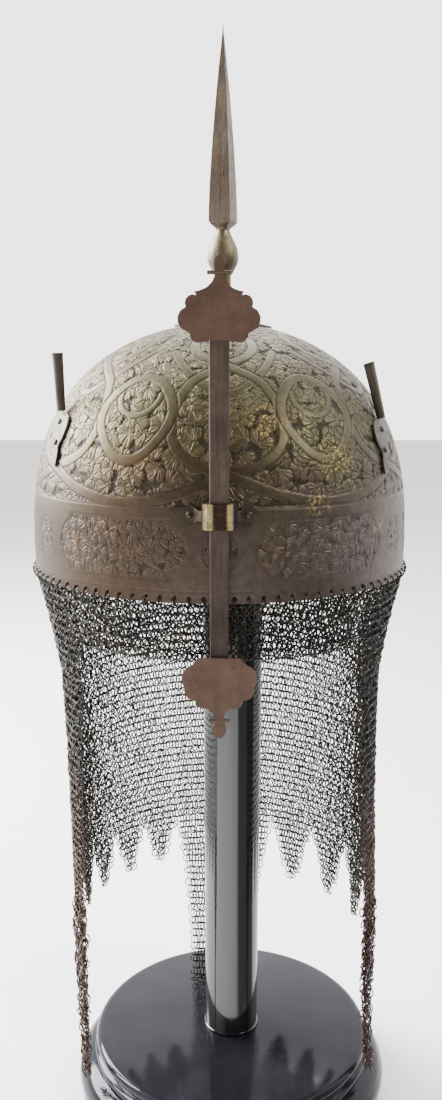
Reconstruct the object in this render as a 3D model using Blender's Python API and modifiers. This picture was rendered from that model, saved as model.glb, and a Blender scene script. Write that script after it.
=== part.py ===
"""Kulah khud: a domed steel helmet with a sliding nasal, plume holders and a mail curtain,
resting on a turned display stand. Metres, +Z up, the brow towards -Y.
The origin is the middle of the stand's foot."""

import math

import bmesh
import bpy
from mathutils import Matrix, Vector

# Bowl
RIM_RADIUS = 0.100
RIM_HEIGHT = 0.348
BOWL_HEIGHT = 0.1235
BOWL_FULLNESS = 2.95
BOWL_WALL = 0.0015
BOWL_SIDES = 48
BOWL_ROWS = 14
HELMET_X = -0.0075

# Clearances
GAP = 0.0003
SLIDE_GAP = 0.0004

# Spike and its washer, which stand a little off the bowl's axis
SPIKE_X = 0.0018
WASHER_REACH = 0.025
WASHER_NOTCH = 0.019
WASHER_THICKNESS = 0.001
WASHER_CROWN_RADIUS = 0.0085
WASHER_CROWN_RISE = 0.0022
WASHER_LEAVES = 8
WASHER_LEAF_SHARPNESS = 1.5
STEM_RADIUS = 0.00405
STEM_LENGTH = 0.0200
BULB_RADIUS = 0.0078
BULB_LENGTH = 0.0186
NECK_RADIUS = 0.0034
BLADE_SIDE = 0.0111
BLADE_FOOT = 0.0040
BLADE_LENGTH = 0.0824
BLADE_CONVEXITY = 1.5
BLADE_TIP_SIDE = 0.0005
BLADE_TURN = math.radians(-20)

# Nasal bar and its keeper
BAR_WIDTH = 0.0087
BAR_THICKNESS = 0.0024
BAR_STANDOFF = 0.0025
BAR_LAP = 0.012
BAR_EDGE = 0.0005
NASAL_PLATE_THICKNESS = 0.0014
TOP_FINIAL_FOOT = 0.1123
TOP_FINIAL_LENGTH = 0.0327
TOP_FINIAL_HALF_WIDTH = 0.0170
LOW_FINIAL_DROP = 0.0240
LOW_FINIAL_LENGTH = 0.0393
LOW_FINIAL_HALF_WIDTH = 0.0183
NASAL_PIN_RADIUS = 0.0008
NASAL_PIN_LENGTH = 0.0098
KEEPER_MIDDLE = 0.0402
KEEPER_HEIGHT = 0.0112
KEEPER_WIDTH = 0.0152
KEEPER_WALL = 0.0011
KEEPER_CHAMFER = 0.0021
WING_REACH = 0.0183
WING_HALF_HEIGHT = 0.0050
WING_THICKNESS = 0.0010
WING_RIVET_PLACE = 0.0132
RIVET_RADIUS = 0.0015
RIVET_HEIGHT = 0.0008
RIVET_SIDES = 12

# Plume holders
PLUME_AZIMUTH = math.radians(63.2)
PLUME_PLATE_SWING = math.radians(-7)
PLUME_PLATE_TOP = {"left": 0.0808, "right": 0.0773}
PLUME_PLATE_LENGTH = 0.0240
PLUME_PLATE_HALF_WIDTH = 0.0090
PLUME_PLATE_THICKNESS = 0.0010
PLUME_TUBE_RISE = 0.0014
PLUME_TUBE_CLEARANCE = 0.0006
PLUME_TUBE_LENGTH = 0.0265
PLUME_TUBE_FOOT_RADIUS = 0.0021
PLUME_TUBE_MOUTH_RADIUS = 0.0028
PLUME_TUBE_WALL = 0.0006
PLUME_TUBE_BLIND = 0.0020
PLUME_TUBE_SIDES = 16
PLUME_LEAN = {"left": math.radians(-1), "right": math.radians(17)}

# Mail
MAIL_WALL = 0.0020
FRINGE_HALF_ANGLE = 43.0
FRINGE_DROP = 0.0300
FRINGE_DRAWN_IN = 0.0020
FRINGE_STEPS = 16
MAIL_DROP = 0.1890
TOOTH_LENGTH = {"left": 0.0340, "right": 0.0460}
TOOTH_TIP_HALF_WIDTH = 0.0030
TEETH = {"left": 5, "right": 4}
TAIL_FIRST_ANGLE = 58.0
TAIL_LAST_ANGLE = 71.0
BACK_EDGE_ANGLE = 156.0
MAIL_SWAY = 0.0030
SEAM_ANGLE = 0.2
BACK_TOUCH_REACH = 0.0510
BACK_TIP_REACH = 0.0330
BACK_POINT_HALF_WIDTH = 0.0310
BACK_STEPS = 4

# Stand
BASE_RADIUS = 0.100
BASE_HEIGHT = 0.045
BASE_SIDES = 48
COLUMN_RADIUS = 0.0166
COLUMN_SIDES = 32
HEAD_RADIUS = 0.032
HEAD_THICKNESS = 0.010
HEAD_DOME = 0.0075

# Shares of the bulb's length from its foot, and of the bulb's radius
BULB_PROFILE = [
    (0.00, 0.62),
    (0.08, 0.78),
    (0.22, 0.95),
    (0.38, 1.00),
    (0.56, 0.93),
    (0.72, 0.76),
    (0.88, 0.56),
]

# Blade's shoulder: share of the foot's length, share of the blade's half side, squareness
BLADE_SHOULDER = (0.45, 0.80, 0.70)

# Washer: shares of the stem's, the crown's and the notches' radius, from the hole outwards
WASHER_HOLE = 0.60
WASHER_CROWN_SLOPE = 0.60
WASHER_LEAF_ROOT = 0.75

# Rivet head: share of its radius, share of its height
RIVET_PROFILE = [(0.00, 1.00), (0.55, 0.85), (0.90, 0.40), (1.00, 0.00), (0.00, 0.00)]

# Share of the plume tube's length where its lip starts, and of the mouth's radius there
PLUME_LIP = 0.93

# How fast the mail's front corners take over from its sides, for each unit of the cosine
CORNER_SPREAD = 2.4

# Top finial: share of its half width, share of its length, bulge of the arc to the next point
TOP_FINIAL_OUTLINE = [
    (0.000, 1.000, 0.15),
    (0.118, 0.908, 0.00),
    (0.109, 0.760, -0.10),
    (0.330, 0.624, -0.05),
    (0.594, 0.584, 0.00),
    (0.553, 0.541, 0.35),
    (0.806, 0.404, 0.38),
    (0.800, 0.119, 0.05),
    (0.718, 0.101, 0.30),
    (0.388, 0.000, 0.25),
    (0.270, 0.012, 0.00),
    (0.000, 0.012, 0.00),
]

# Low finial, from its upper edge down: the same columns
LOW_FINIAL_OUTLINE = [
    (0.000, 0.000, 0.00),
    (0.541, 0.000, -0.05),
    (0.694, 0.085, 0.26),
    (0.890, 0.355, 0.25),
    (0.612, 0.524, 0.25),
    (0.360, 0.620, -0.20),
    (0.120, 0.730, 0.00),
    (0.110, 0.800, 0.10),
    (0.180, 0.870, 0.10),
    (0.140, 0.950, 0.15),
    (0.000, 1.000, 0.00),
]

# Share of each finial's length where its cross pin sits
TOP_PIN_SHARE = 0.800
LOW_PIN_SHARE = 0.776

# Keeper's wing: share of the reach, share of the half height
WING_OUTLINE = [
    (0.36, 0.46),
    (0.44, 0.46),
    (0.52, 0.46),
    (0.62, 0.72),
    (0.73, 1.00),
    (0.86, 0.52),
    (1.00, 0.05),
]

# Plume plate: share of its length from the top, share of its half width
PLUME_PLATE_OUTLINE = [
    (0.00, 0.60),
    (0.06, 0.92),
    (0.20, 1.00),
    (0.33, 0.90),
    (0.45, 0.70),
    (0.56, 0.42),
    (0.65, 0.28),
    (0.73, 0.32),
    (0.85, 0.22),
    (1.00, 0.04),
]
PLUME_RIVET_SHARES = (0.175, 0.555)

# Hang of the mail: share of the drop, front edge's angle,
# then shares of the rim radius at the front corner, the side and the back
MAIL_HANG = [
    (0.00, 43.6, 0.9925, 0.9925, 0.9925),
    (0.12, 47.0, 0.950, 0.938, 0.975),
    (0.28, 52.0, 0.912, 0.868, 0.930),
    (0.46, 55.0, 0.912, 0.864, 0.885),
    (0.70, 57.0, 0.925, 0.860, 0.840),
    (1.00, 58.0, 0.945, 0.872, 0.800),
]

# Tail tips: share of the base's radius, share of the base's height
TAIL_TIP = {"left": (0.995, 0.77), "right": (0.955, 0.85)}

# Tails and back point: share of the fall from the mail's edge, share of the width
TAIL_TAPER = [(0.33, 0.85), (0.48, 0.64), (0.66, 0.48), (0.85, 0.44), (1.00, 0.40)]
BACK_TAPER = [(0.34, 0.86), (0.70, 0.70), (0.93, 0.63), (1.00, 0.60)]
BACK_TIP_SHARE = 0.10

# How late the curtain sways, and how late a tail and the back point leave the plumb line:
# powers of the share of the fall
SWAY_POWER = 1.5
TAIL_SWING = 4.0
BACK_SWING = 2.0

# Base: share of its radius, share of its height, from the top's edge down
BASE_PROFILE = [
    (0.840, 1.000),
    (0.865, 0.978),
    (0.879, 0.930),
    (0.879, 0.880),
    (0.857, 0.830),
    (0.857, 0.800),
    (0.884, 0.770),
    (0.884, 0.700),
    (0.870, 0.670),
    (0.905, 0.640),
    (0.955, 0.580),
    (0.988, 0.490),
    (1.000, 0.380),
    (0.992, 0.270),
    (0.960, 0.180),
    (0.960, 0.100),
    (0.980, 0.080),
    (0.980, 0.000),
]

# Colour, metallic value and roughness of each material
FINISHES = {
    "steel": ((0.135, 0.115, 0.098), 0.85, 0.48),
    "dark steel": ((0.090, 0.085, 0.075), 0.90, 0.40),
    "rusty iron": ((0.120, 0.078, 0.055), 0.60, 0.60),
    "brass": ((0.420, 0.360, 0.180), 1.00, 0.30),
    "mail iron": ((0.060, 0.052, 0.046), 0.80, 0.50),
    "black lacquer": ((0.006, 0.006, 0.008), 0.00, 0.12),
}

AXIS = Vector((HELMET_X, 0.0, RIM_HEIGHT))


def clear_scene():
    """Remove every object, so that a second run starts from nothing."""
    for old in list(bpy.data.objects):
        bpy.data.objects.remove(old, do_unlink=True)


def collection(name):
    """Find or make a collection in the scene."""
    found = bpy.data.collections.get(name)
    if found is None:
        found = bpy.data.collections.new(name)
        bpy.context.scene.collection.children.link(found)
    return found


def material(name):
    """Find or make a plain material from the table of finishes."""
    found = bpy.data.materials.get(name)
    if found is None:
        colour, metallic, roughness = FINISHES[name]
        found = bpy.data.materials.new(name)
        found.use_nodes = True
        shader = found.node_tree.nodes["Principled BSDF"]
        shader.inputs["Base Color"].default_value = (*colour, 1.0)
        shader.inputs["Metallic"].default_value = metallic
        shader.inputs["Roughness"].default_value = roughness
    return found


def add_object(name, mesh, finish):
    """Put a mesh into the scene as one sub-part with its material."""
    piece = bpy.data.objects.new(name, mesh)
    mesh.materials.clear()
    mesh.materials.append(material(finish))
    collection("kulah khud").objects.link(piece)
    return piece


def shade_round(piece, sharp_degrees=35):
    """Smooth shading that keeps the edges sharper than the given angle."""
    piece.data.shade_smooth()
    piece.data.set_sharp_from_angle(angle=math.radians(sharp_degrees))


def bowl_radius(height, inset=0.0):
    """Radius of the bowl at a height above the rim: R * sqrt(1 - (z / H) ** fullness)."""
    share = min(max(height / (BOWL_HEIGHT - inset), 0.0), 1.0)
    return (RIM_RADIUS - inset) * math.sqrt(1.0 - share ** BOWL_FULLNESS)


def bowl_top(radius, inset=0.0):
    """Height of the bowl above the rim at a radius, the inverse of bowl_radius."""
    share = min(radius / (RIM_RADIUS - inset), 1.0)
    return (BOWL_HEIGHT - inset) * (1.0 - share ** 2) ** (1.0 / BOWL_FULLNESS)


def bowl_normal(height, azimuth):
    """Outward unit vector of the bowl. Azimuth 0 is the brow, 90 degrees the +X side."""
    radius = bowl_radius(height)
    outward = 2.0 * radius / RIM_RADIUS ** 2
    upward = BOWL_FULLNESS * height ** (BOWL_FULLNESS - 1.0) / BOWL_HEIGHT ** BOWL_FULLNESS
    return (ray(azimuth) * outward + Vector((0.0, 0.0, upward))).normalized()


def ray(azimuth):
    """Level unit vector that points away from the helmet's axis."""
    return Vector((math.sin(azimuth), -math.cos(azimuth), 0.0))


def on_bowl(height, azimuth, lift):
    """Point at a distance above the bowl's outer surface."""
    foot = AXIS + ray(azimuth) * bowl_radius(height) + Vector((0.0, 0.0, height))
    return foot + bowl_normal(height, azimuth) * lift


def turned(name, profile, sides, finish):
    """Solid of revolution from a profile of (radius, height), top to bottom on the outside."""
    mesh = bpy.data.meshes.new(name)
    points = [(radius, 0.0, height) for radius, height in profile]
    mesh.from_pydata(points, [(i, i + 1) for i in range(len(points) - 1)], [])
    piece = add_object(name, mesh, finish)
    screw = piece.modifiers.new("Turn", "SCREW")
    screw.steps = sides
    screw.render_steps = sides
    screw.use_merge_vertices = True
    screw.merge_threshold = 0.00001
    return piece


def thick_sheet(name, patches, offset, finish):
    """Wall of even thickness on a surface given as patches, each a list of rows of points.
    The offset function gives the step from the middle surface to the outer face."""
    middle = bmesh.new()
    for rows in patches:
        grid = [[middle.verts.new(point) for point in row] for row in rows]
        for upper, lower in zip(grid, grid[1:]):
            for i in range(len(upper) - 1):
                middle.faces.new((upper[i], lower[i], lower[i + 1], upper[i + 1]))
    bmesh.ops.remove_doubles(middle, verts=middle.verts, dist=0.00001)
    middle.verts.index_update()
    wall = bmesh.new()
    outer = [wall.verts.new(vert.co + offset(vert.co)) for vert in middle.verts]
    inner = [wall.verts.new(vert.co - offset(vert.co)) for vert in middle.verts]
    for face in middle.faces:
        corners = [vert.index for vert in face.verts]
        wall.faces.new([outer[i] for i in corners])
        wall.faces.new([inner[i] for i in reversed(corners)])
    for edge in middle.edges:
        if edge.is_boundary:
            first, second = (vert.index for vert in edge.verts)
            wall.faces.new((outer[first], outer[second], inner[second], inner[first]))
    bmesh.ops.recalc_face_normals(wall, faces=wall.faces)
    bmesh.ops.triangulate(wall, faces=wall.faces)
    mesh = bpy.data.meshes.new(name)
    wall.to_mesh(mesh)
    wall.free()
    middle.free()
    return add_object(name, mesh, finish)


def loft(name, sections, finish):
    """Closed solid through rings of points, from the lowest ring to the highest."""
    shape = bmesh.new()
    rings = [[shape.verts.new(point) for point in section] for section in sections]
    count = len(rings[0])
    for lower, upper in zip(rings, rings[1:]):
        for i in range(count):
            j = (i + 1) % count
            shape.faces.new((lower[i], lower[j], upper[j], upper[i]))
    shape.faces.new(list(reversed(rings[0])))
    shape.faces.new(rings[-1])
    bmesh.ops.recalc_face_normals(shape, faces=shape.faces)
    mesh = bpy.data.meshes.new(name)
    shape.to_mesh(mesh)
    shape.free()
    return add_object(name, mesh, finish)


def arc(start, end, bulge, steps=5):
    """Points from start up to, but without, end. Bulge is the arc's rise over its chord."""
    if bulge == 0.0:
        return [start]
    first = Vector(start)
    chord = Vector(end) - first
    side = Vector((chord.y, -chord.x))
    half_angle = 2.0 * math.atan(2.0 * bulge)
    radius = 0.5 / math.sin(half_angle)
    points = []
    for step in range(steps):
        angle = half_angle * (2.0 * step / steps - 1.0)
        along = 0.5 + radius * math.sin(angle)
        rise = radius * (math.cos(angle) - math.cos(half_angle))
        point = first + chord * along - side * rise
        points.append((point.x, point.y))
    return points


def mirrored_outline(table, half_width, start, length):
    """Closed outline from the table of one half, mirrored in the middle line."""
    nodes = [(x * half_width, start + share * length, bulge) for x, share, bulge in table]
    half = []
    for (x0, z0, bulge), (x1, z1, _) in zip(nodes, nodes[1:]):
        half.extend(arc((x0, z0), (x1, z1), bulge))
    half.append(nodes[-1][:2])
    other = [(-x, z) for x, z in reversed(half) if x > GAP]
    return half + other


def flat_plate(name, outlines, half_thickness):
    """Mesh of a flat plate from closed outlines, an inner one being a hole."""
    curve = bpy.data.curves.new(name, "CURVE")
    curve.dimensions = "2D"
    curve.fill_mode = "BOTH"
    curve.extrude = half_thickness
    for outline in outlines:
        spline = curve.splines.new("POLY")
        spline.points.add(len(outline) - 1)
        for point, (x, y) in zip(spline.points, outline):
            point.co = (x, y, 0.0, 1.0)
        spline.use_cyclic_u = True
    holder = bpy.data.objects.new(name, curve)
    bpy.context.scene.collection.objects.link(holder)
    bpy.context.view_layer.update()
    solid = holder.evaluated_get(bpy.context.evaluated_depsgraph_get())
    mesh = bpy.data.meshes.new_from_object(solid)
    bpy.data.objects.remove(holder, do_unlink=True)
    bpy.data.curves.remove(curve)
    shape = bmesh.new()
    shape.from_mesh(mesh)
    bmesh.ops.remove_doubles(shape, verts=shape.verts, dist=0.000001)
    shape.to_mesh(mesh)
    shape.free()
    return mesh


def join(piece, helper):
    """Fuse a helper solid into a piece with a union."""
    helper.hide_render = True
    helper.display_type = "WIRE"
    collection("kulah khud").objects.unlink(helper)
    collection("cutters").objects.link(helper)
    union = piece.modifiers.new("Join " + helper.name, "BOOLEAN")
    union.operation = "UNION"
    union.object = helper


def build_bowl():
    """Hollow dome: the outer profile down to the rim and the inner one back up."""
    turns = [math.pi / 2.0 * i / BOWL_ROWS for i in range(BOWL_ROWS + 1)]
    outer = [(RIM_RADIUS * math.cos(t), bowl_top(RIM_RADIUS * math.cos(t))) for t in turns]
    inside = RIM_RADIUS - BOWL_WALL
    inner = [(inside * math.cos(t), bowl_top(inside * math.cos(t), BOWL_WALL)) for t in turns]
    outer[0] = (RIM_RADIUS, 0.0)
    inner[0] = (inside, 0.0)
    outer[-1] = (0.0, BOWL_HEIGHT)
    inner[-1] = (0.0, BOWL_HEIGHT - BOWL_WALL)
    bowl = turned("bowl", outer[::-1] + inner, BOWL_SIDES, "steel")
    bowl.location = AXIS
    shade_round(bowl)


def crown_rise(radius):
    """How far the washer rises above the bowl's curve at a radius from the spike."""
    rise = max(0.0, 1.0 - radius / WASHER_CROWN_RADIUS)
    return WASHER_CROWN_RISE * (1.0 - (1.0 - rise) ** 3)


def washer_point(azimuth, radius):
    """Middle of the washer: it lies on the bowl and rises to a crown round the spike."""
    flat = Vector((SPIKE_X, 0.0, 0.0)) + ray(azimuth) * radius
    seat = bowl_top(flat.length) + GAP + WASHER_THICKNESS / 2.0
    return AXIS + flat + Vector((0.0, 0.0, seat + crown_rise(radius)))


def build_washer():
    """Leafy washer: its edge swings between notches and pointed leaf tips."""
    sides = WASHER_LEAVES * 4
    hole = STEM_RADIUS * WASHER_HOLE
    slope = WASHER_CROWN_RADIUS * WASHER_CROWN_SLOPE
    root = WASHER_NOTCH * WASHER_LEAF_ROOT
    columns = []
    for i in range(sides + 1):
        azimuth = 2.0 * math.pi * i / sides
        wave = abs(2.0 * ((i / 4.0) % 1.0) - 1.0)
        edge = WASHER_NOTCH + (WASHER_REACH - WASHER_NOTCH) * wave ** WASHER_LEAF_SHARPNESS
        column = []
        for radius in (hole, slope, WASHER_CROWN_RADIUS, root, edge):
            column.append(washer_point(azimuth, radius))
        columns.append(column)
    lift = Vector((0.0, 0.0, WASHER_THICKNESS / 2.0))
    washer = thick_sheet("spike_washer", [columns], lambda point: lift, "dark steel")
    shade_round(washer)


def spike_section(height, half_width, squareness, sides=16):
    """Ring of 16 points that turns from round (0) to square (1)."""
    ring = []
    for i in range(sides):
        angle = 2.0 * math.pi * i / sides
        stretch = 1.0 / max(abs(math.cos(angle)), abs(math.sin(angle)))
        radius = half_width * (1.0 + squareness * (stretch - 1.0))
        turn = angle + BLADE_TURN
        ring.append(Vector((radius * math.cos(turn), radius * math.sin(turn), height)))
    return ring


def build_spike():
    """Stem, pear-shaped bulb, neck and square tapering blade in one forging."""
    hole = STEM_RADIUS * WASHER_HOLE
    seat = BOWL_HEIGHT + crown_rise(hole) + WASHER_THICKNESS + 2.0 * GAP
    sections = [spike_section(0.0, STEM_RADIUS, 0.0)]
    sections.append(spike_section(STEM_LENGTH - GAP, STEM_RADIUS, 0.0))
    for share, width in BULB_PROFILE:
        sections.append(spike_section(STEM_LENGTH + share * BULB_LENGTH, width * BULB_RADIUS, 0.0))
    neck = STEM_LENGTH + BULB_LENGTH
    sections.append(spike_section(neck, NECK_RADIUS, 0.0))
    half_side = BLADE_SIDE / 2.0
    foot = neck + BLADE_FOOT
    along, across, squareness = BLADE_SHOULDER
    sections.append(spike_section(neck + BLADE_FOOT * along, half_side * across, squareness))
    blade_rows = 9
    for i in range(blade_rows + 1):
        share = i / blade_rows
        taper = 1.0 - share ** BLADE_CONVEXITY
        half_width = max(half_side * taper, BLADE_TIP_SIDE / 2.0)
        sections.append(spike_section(foot + share * BLADE_LENGTH, half_width, 1.0))
    spike = loft("spike", sections, "dark steel")
    spike.location = AXIS + Vector((SPIKE_X, 0.0, seat))
    shade_round(spike, 30)


def bar_back():
    """Distance of the bar's back face from the helmet's axis."""
    return RIM_RADIUS + BAR_STANDOFF


def build_bar():
    """Flat bar that runs behind both finials by the lap."""
    top = TOP_FINIAL_FOOT + BAR_LAP
    bottom = -LOW_FINIAL_DROP - BAR_LAP
    bpy.ops.mesh.primitive_cube_add(size=1.0)
    maker = bpy.context.object
    mesh = maker.data.copy()
    bpy.data.objects.remove(maker, do_unlink=True)
    mesh.transform(Matrix.Diagonal((BAR_WIDTH, BAR_THICKNESS, top - bottom, 1.0)))
    bar = add_object("nasal_bar", mesh, "rusty iron")
    middle = bar_back() + BAR_THICKNESS / 2.0
    bar.location = AXIS + Vector((0.0, -middle, (top + bottom) / 2.0))
    bevel = bar.modifiers.new("Worn edges", "BEVEL")
    bevel.width = BAR_EDGE
    bevel.segments = 1


def build_finial(name, table, half_width, start, length, pin_share):
    """Lobed plate in front of the bar, with a cross pin through its neck."""
    outline = mirrored_outline(table, half_width, start, length)
    plate = add_object(name, flat_plate(name, [outline], NASAL_PLATE_THICKNESS / 2.0), "rusty iron")
    front = bar_back() + BAR_THICKNESS + GAP + NASAL_PLATE_THICKNESS / 2.0
    plate.location = AXIS + Vector((0.0, -front, 0.0))
    plate.rotation_euler = (math.pi / 2.0, 0.0, 0.0)
    shape = bmesh.new()
    bmesh.ops.create_cone(shape, cap_ends=True, segments=10, radius1=NASAL_PIN_RADIUS,
                          radius2=NASAL_PIN_RADIUS, depth=NASAL_PIN_LENGTH)
    pin_mesh = bpy.data.meshes.new(name + "_pin")
    shape.to_mesh(pin_mesh)
    shape.free()
    pin = add_object(name + "_pin", pin_mesh, "rusty iron")
    pin.location = AXIS + Vector((0.0, -front, start + pin_share * length))
    pin.rotation_euler = (0.0, math.pi / 2.0, 0.0)
    join(plate, pin)


def build_keeper():
    """Brass sleeve round the bar, with a diamond-ended wing on each side."""
    half = KEEPER_WIDTH / 2.0
    inner_half = BAR_WIDTH / 2.0 + SLIDE_GAP
    inner_back = -(bar_back() - SLIDE_GAP)
    inner_front = -(bar_back() + BAR_THICKNESS + SLIDE_GAP)
    back = inner_back + KEEPER_WALL
    front = inner_front - KEEPER_WALL
    outside = [(half, back), (-half, back), (-half, front + KEEPER_CHAMFER),
               (-half + KEEPER_CHAMFER, front), (half - KEEPER_CHAMFER, front),
               (half, front + KEEPER_CHAMFER)]
    inside = [(inner_half, inner_back), (-inner_half, inner_back),
              (-inner_half, inner_front), (inner_half, inner_front)]
    mesh = flat_plate("nasal_bracket", [outside, inside], KEEPER_HEIGHT / 2.0)
    keeper = add_object("nasal_bracket", mesh, "brass")
    keeper.location = AXIS + Vector((0.0, 0.0, KEEPER_MIDDLE))
    sleeve_middle = -(back + inner_front) / 2.0
    for side, name in ((-1, "left"), (1, "right")):
        wing = build_wing("wing_" + name, side, sleeve_middle)
        join(keeper, wing)
        build_wing_rivet("bracket_rivet_" + name, side)


def wing_depth(reach, height):
    """Distance of the wing's middle from the helmet's axis plane, where it lies on the bowl."""
    radius = bowl_radius(KEEPER_MIDDLE + height)
    return math.sqrt(radius ** 2 - reach ** 2) + GAP + WING_THICKNESS / 2.0


def build_wing(name, side, sleeve_middle):
    """Wing that leaves the sleeve and bends down on to the bowl."""
    rows = []
    settled = WING_OUTLINE[3][0]
    first = WING_OUTLINE[0][0]
    for share, height_share in WING_OUTLINE:
        reach = share * WING_REACH
        blend = min((share - first) / (settled - first), 1.0)
        blend = blend * blend * (3.0 - 2.0 * blend)
        row = []
        for across in (-1.0, 0.0, 1.0):
            height = across * height_share * WING_HALF_HEIGHT
            depth = sleeve_middle + (wing_depth(reach, height) - sleeve_middle) * blend
            row.append(AXIS + Vector((side * reach, -depth, KEEPER_MIDDLE + height)))
        rows.append(row)
    step = Vector((0.0, -WING_THICKNESS / 2.0, 0.0))
    return thick_sheet(name, [rows], lambda point: step, "brass")


def build_rivet(name, foot, outward, finish):
    """Low domed rivet head."""
    profile = [(r * RIVET_RADIUS, z * RIVET_HEIGHT) for r, z in RIVET_PROFILE]
    rivet = turned(name, profile, RIVET_SIDES, finish)
    rivet.location = foot
    rivet.rotation_euler = outward.to_track_quat("Z", "Y").to_euler()
    shade_round(rivet)


def build_wing_rivet(name, side):
    """Rivet in the middle of a wing's diamond."""
    azimuth = side * math.asin(WING_RIVET_PLACE / bowl_radius(KEEPER_MIDDLE))
    lift = GAP + WING_THICKNESS / math.cos(azimuth) + GAP
    foot = on_bowl(KEEPER_MIDDLE, azimuth, lift)
    build_rivet(name, foot, bowl_normal(KEEPER_MIDDLE, azimuth), "brass")


def plume_plate_place(name, side, share):
    """Height above the rim and azimuth of the plate's middle line, at a share of its length."""
    height = PLUME_PLATE_TOP[name] - share * PLUME_PLATE_LENGTH
    return height, side * (PLUME_AZIMUTH + share * PLUME_PLATE_SWING)


def build_plume_holder(name, side):
    """Scalloped plate on the bowl with its two rivets, and the open tapered tube."""
    middle = GAP + PLUME_PLATE_THICKNESS / 2.0
    rows = []
    for share, width_share in PLUME_PLATE_OUTLINE:
        height, azimuth = plume_plate_place(name, side, share)
        row = []
        for across in (-1.0, -0.5, 0.0, 0.5, 1.0):
            swing = across * width_share * PLUME_PLATE_HALF_WIDTH / bowl_radius(height)
            row.append(on_bowl(height, azimuth + swing, middle))
        rows.append(row)

    def outward(point):
        across = point - AXIS
        return bowl_normal(across.z, math.atan2(across.x, -across.y)) * PLUME_PLATE_THICKNESS / 2.0

    plate = thick_sheet("plume_plate_" + name, [rows], outward, "dark steel")
    shade_round(plate)
    lift = GAP + PLUME_PLATE_THICKNESS + GAP
    for place, share in zip(("top", "low"), PLUME_RIVET_SHARES):
        height, azimuth = plume_plate_place(name, side, share)
        foot = on_bowl(height, azimuth, lift)
        build_rivet("plume_rivet_" + name + "_" + place, foot, bowl_normal(height, azimuth), "steel")
    mouth = PLUME_TUBE_MOUTH_RADIUS
    foot_radius = PLUME_TUBE_FOOT_RADIUS
    wall = PLUME_TUBE_WALL
    length = PLUME_TUBE_LENGTH
    profile = [(mouth - wall, length), (mouth, length), (mouth * PLUME_LIP, length * PLUME_LIP),
               (foot_radius, 0.0), (0.0, 0.0)]
    bore = [(0.0, PLUME_TUBE_BLIND), (foot_radius - wall, PLUME_TUBE_BLIND),
            (mouth * PLUME_LIP - wall, length * PLUME_LIP), (mouth - wall, length)]
    tube = turned("plume_tube_" + name, profile + bore, PLUME_TUBE_SIDES, "dark steel")
    seat, azimuth = plume_plate_place(name, side, -PLUME_TUBE_RISE / PLUME_PLATE_LENGTH)
    reach = bowl_radius(seat) + foot_radius + PLUME_TUBE_CLEARANCE
    tube.location = AXIS + ray(azimuth) * reach + Vector((0.0, 0.0, seat))
    lean = PLUME_LEAN[name]
    upward = Vector((0.0, 0.0, math.cos(lean))) - ray(azimuth) * math.sin(lean)
    tube.rotation_euler = upward.to_track_quat("Z", "Y").to_euler()
    shade_round(tube)


def hang(share, column):
    """Row of the hang table between its entries, for one of its columns."""
    for lower, upper in zip(MAIL_HANG, MAIL_HANG[1:]):
        if share <= upper[0]:
            part = (share - lower[0]) / (upper[0] - lower[0])
            return lower[column] + (upper[column] - lower[column]) * part
    return MAIL_HANG[-1][column]


def mail_point(degrees, share, drop):
    """Middle of the mail wall. The radius goes from the corner's to the side's and the back's."""
    corner, side, back = (hang(share, column) for column in (2, 3, 4))
    front = max(0.0, math.cos(math.radians(degrees)))
    behind = max(0.0, -math.cos(math.radians(degrees)))
    radius = side + (corner - side) * min(1.0, CORNER_SPREAD * front) + (back - side) * behind ** 2
    flat = ray(math.radians(degrees)) * radius * RIM_RADIUS
    return AXIS + flat + Vector((0.0, 0.0, -GAP - drop))


def curtain_angle(low_degrees, share):
    """Angle of a strand at a share of the drop, from its angle at the lower edge."""
    edge = hang(share, 1)
    reach = (low_degrees - TAIL_FIRST_ANGLE) / (180.0 - TAIL_FIRST_ANGLE)
    return edge + (180.0 - edge) * reach


def mail_rows(angles, side):
    """Rows of the curtain from the rim to the line of the valleys."""
    rows = []
    for share, *_ in MAIL_HANG:
        row = [mail_point(curtain_angle(a, share), share, share * MAIL_DROP) for a in angles]
        rows.append([sway(flip(point, side), share) for point in row])
    return rows


def flip(point, side):
    """Mirror a point in the helmet's middle plane for the left side."""
    return Vector((AXIS.x + side * (point.x - AXIS.x), point.y, point.z))


def sway(point, share=1.0):
    """Shift a point to the side by which the curtain hangs askew at a share of the drop."""
    return point + Vector((MAIL_SWAY * share ** SWAY_POWER, 0.0, 0.0))


def strip_row(centre, across, half_width):
    """Three points across a hanging strip."""
    return [centre - across * half_width, centre, centre + across * half_width]


def tooth_patch(first, last, side, length):
    """Pointed tooth between two valleys."""
    valleys = [mail_point(a, 1.0, MAIL_DROP) for a in (first, (first + last) / 2.0, last)]
    across = (valleys[2] - valleys[0]).normalized()
    tip = valleys[1] + Vector((0.0, 0.0, -length))
    rows = [valleys, strip_row(tip, across, TOOTH_TIP_HALF_WIDTH)]
    return [[sway(flip(point, side)) for point in row] for row in rows]


def tail_patch(side, tip_share, height_share):
    """Long tail at the front corner, which swings out towards the base's edge."""
    angles = (TAIL_FIRST_ANGLE, (TAIL_FIRST_ANGLE + TAIL_LAST_ANGLE) / 2.0, TAIL_LAST_ANGLE)
    top = [sway(flip(mail_point(a, 1.0, MAIL_DROP), side)) for a in angles]
    across = (top[2] - top[0]).normalized()
    half_width = (top[2] - top[0]).length / 2.0
    start = top[1]
    flat = Vector((start.x, start.y, 0.0)).normalized()
    tip = flat * BASE_RADIUS * tip_share
    tip.z = BASE_HEIGHT * height_share
    rows = [top]
    for share, width in TAIL_TAPER:
        centre = start.lerp(tip, share)
        swing = start.lerp(tip, share ** TAIL_SWING)
        centre = Vector((swing.x, swing.y, centre.z))
        rows.append(strip_row(centre, across, width * half_width))
    return rows


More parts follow.
